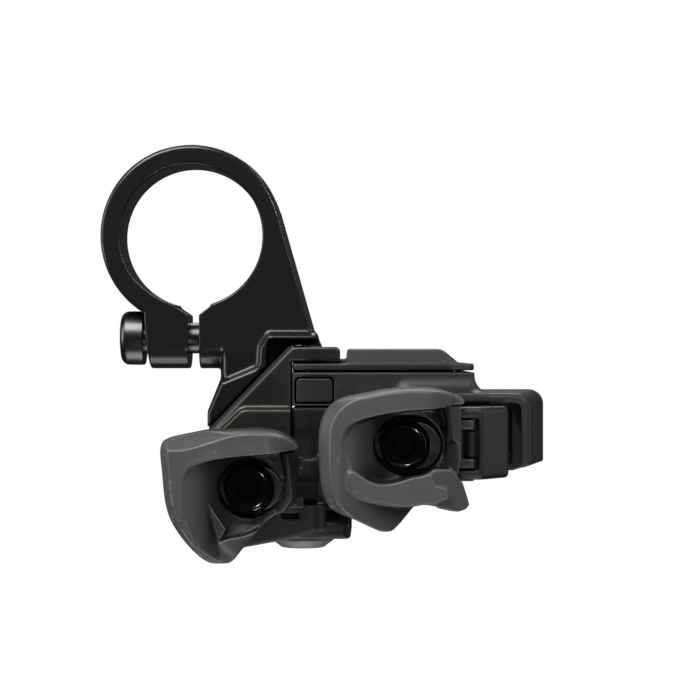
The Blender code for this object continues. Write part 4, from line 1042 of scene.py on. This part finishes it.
def release_paddle():
    """Scoop-shaped thumb paddle, open towards +X and downwards."""
    s = Space("release_paddle", FINE)
    front, back = (corner[1] for corner in corners_of("release_paddle"))
    edge = flat(flowing(RELEASE_EDGE), s.x, s.z)
    solid = prism(edge, s.y, front, back, 0.5)
    breadth = 0.55 + 0.75 * ramp(-s.x, -3.0, 0.5)
    solid = keep(solid, slanted_rim(edge, s.y, front, breadth, 2.2), 0.2)
    # top that leans back from the ridge, broad at the left
    ridge = -32.4 + 2.4 * ramp(s.x, 0.0, 10.5) - 1.9 * ramp(s.x, 11.5, 17.5)
    solid = keep(solid, (s.z - ridge - 0.85 * (s.y - front)) / 1.31, 0.2)
    fall = (front + 0.25 * (s.x - 0.2) - s.y) / 1.03
    upper = flat(flowing(RELEASE_UPPER_ARM), s.x, s.z)
    upper = keep(upper, (front - 0.2 * (s.z + 31.0) - s.y) / 1.02, 0.3)
    upper = keep(upper, (front + 0.55 * (s.x - 13.2) - s.y) / 1.14, 0.6)
    body = keep(keep(solid, add(keep(fall, front - s.y), upper, 1.2), 0.3), front - s.y)
    # scoop, whose floor comes forward towards the bottom
    floor = -22.0 - 0.35 * np.maximum(-43.5 - s.z, 0)
    incline = (s.y - (front + 0.85 * (s.x - 0.9))) / 1.31
    cutter = keep(flat(flowing(RELEASE_SCOOP), s.x, s.z), keep(incline, s.y - floor, 2.0), 0.5)
    body = remove(body, cutter, 0.2 + 0.4 * ramp(-s.x, -6.0, -2.0))
    # apron under the scoop, cut back a little from the front
    apron_face = (s.y - (front + 0.4 - 0.3 * (s.z + 42.5))) / 1.04
    body = remove(body, keep(flat(RELEASE_APRON, s.x, s.z), apron_face, 0.3), 0.25)
    bolt = middle_of("release_paddle_bolt")
    centre = (bolt.x, bolt.z)
    body = bolt_recess(s, body, centre, (front, back), 0.0, 4.4, 1.7, 3.2, -22.4)
    body = add(body, prism(flat(RELEASE_RIB, s.x, s.z), s.y, -25.4, -20.0, 0.15), 0.3)
    crest = 15.6 + 0.1 * (-33.0 - s.z) - 1.6 * ramp(-s.z, 39.3, 42.0)
    body = shank_hole(s, folded_wall(s, body, RELEASE_WALL, crest, -23.6, back), centre)
    for low, high in RELEASE_TAB_HEIGHTS:
        body = add(body, block(s, (15.2, -18.9, low), (17.9, back, high), 0.15))
    moulded(body, s, RELEASE_PADDLE)


def paddle_hardware():
    """Socket bolts and nuts of both paddles."""
    for prefix in ("main", "release"):
        screw(prefix + "_paddle_bolt", "Y", -1, 3.5, 0.85, 1.95, 3.0, STEEL_BLACK)
        nut(prefix + "_paddle_nut", "Y", BRIGHT)


# ---------------------------------------------------------------- inner pieces keep their CAD shape

def repaint():
    """Give the CAD nodes that still show the finish of their record slot."""
    for obj in frame["nodes"].values():
        if obj.hide_render or not obj.data.materials:
            continue
        name = obj.data.materials[0].name.split(".")[0]
        chosen = SLOT_FINISH.get(name, BRIGHT)
        for index in range(len(obj.data.materials)):
            obj.data.materials[index] = chosen


# ---------------------------------------------------------------- studio

def glow(name):
    """Evenly bright white material."""
    material = bpy.data.materials.new(name)
    material.use_nodes = True
    nodes = material.node_tree.nodes
    nodes.clear()
    light = nodes.new("ShaderNodeEmission")
    light.inputs["Color"].default_value = (1, 1, 1, 1)
    light.inputs["Strength"].default_value = 1.0
    out = nodes.new("ShaderNodeOutputMaterial")
    material.node_tree.links.new(light.outputs[0], out.inputs["Surface"])
    return material


def softbox(name, place, width, height, brightness):
    """Area light aimed at the object; its power follows from its brightness and size."""
    data = bpy.data.lights.new(name, "AREA")
    data.shape = "RECTANGLE"
    data.size = width * MM
    data.size_y = height * MM
    data.energy = brightness * math.pi * data.size * data.size_y
    obj = bpy.data.objects.new(name, data)
    obj.location = Vector(place) * MM
    obj.rotation_euler = (Vector(LIT_POINT) - Vector(place)).to_track_quat("-Z", "Y").to_euler()
    bpy.context.scene.collection.objects.link(obj)


def surround():
    """World that looks white to the camera and lights the object dimly."""
    world = bpy.data.worlds.new("surround")
    bpy.context.scene.world = world
    world.use_nodes = True
    nodes = world.node_tree.nodes
    link = world.node_tree.links.new
    dim = nodes["Background"]
    dim.inputs["Color"].default_value = (*SURROUND_LIGHT, 1)
    white = nodes.new("ShaderNodeBackground")
    white.inputs["Color"].default_value = (1, 1, 1, 1)
    seen = nodes.new("ShaderNodeMixShader")
    link(nodes.new("ShaderNodeLightPath").outputs["Is Camera Ray"], seen.inputs["Fac"])
    link(dim.outputs["Background"], seen.inputs[1])
    link(white.outputs["Background"], seen.inputs[2])
    link(seen.outputs["Shader"], nodes["World Output"].inputs["Surface"])


LIT_POINT = (22, 0, -20)
SOFTBOXES = {  # place, width, height and brightness
    "key": ((-130, -240, 290), 320, 220, 8.5),
    "right": ((390, -20, 60), 220, 300, 1.0),
    "left": ((-380, -90, 60), 200, 300, 3.5),
    "under": ((20, -40, -340), 320, 200, 3.0),
    "back_top": ((30, 260, 300), 300, 200, 4.5),
    "right_high": ((270, -100, 290), 90, 90, 9.0),
    "front_high": ((170, -350, 110), 22, 22, 130.0),
    "front_low": ((70, -350, -190), 22, 22, 110.0),
}
SURROUND_LIGHT = (0.04, 0.04, 0.04)
ROOM_RADIUS = 6.0  # metres, as are the floor's
FLOOR_RADIUS = 3.0
FLOOR_HEIGHT = -0.2


def studio():
    """White room and floor that only the camera sees, soft lights and a dim surround."""
    surround()
    bpy.ops.mesh.primitive_ico_sphere_add(radius=ROOM_RADIUS, subdivisions=4)
    dome = bpy.context.object
    dome.name = "white_room"
    bpy.ops.mesh.primitive_circle_add(vertices=96, radius=FLOOR_RADIUS, fill_type="NGON",
                                      location=(0, 0, FLOOR_HEIGHT))
    floor = bpy.context.object
    floor.name = "floor"
    for shell, look in ((dome, "room_white"), (floor, "floor_white")):
        shell.data.materials.append(glow(look))
        shell.visible_diffuse = False
        shell.visible_glossy = False
        shell.visible_shadow = False
        shell.visible_transmission = False
    for name, values in SOFTBOXES.items():
        softbox(name, *values)
    bpy.context.scene.view_settings.view_transform = "Standard"


VIEW_POINT = Vector((24.8, -295.0, -17.9)) * MM
LENS = 95.53


def camera():
    """Level camera in front of the pod, looking along +Y."""
    data = bpy.data.cameras.new("camera")
    data.lens = LENS
    data.clip_start = 0.01
    obj = bpy.data.objects.new("camera", data)
    obj.location = VIEW_POINT
    obj.rotation_euler = (math.radians(90), 0, 0)
    bpy.context.scene.collection.objects.link(obj)
    bpy.context.scene.camera = obj


clamp()
adapter()
lid()
upper_housing()
lower_housing()
button()
main_lever()
release_lever()
pivot_cap()
main_paddle()
release_paddle()
paddle_hardware()
repaint()
studio()
camera()
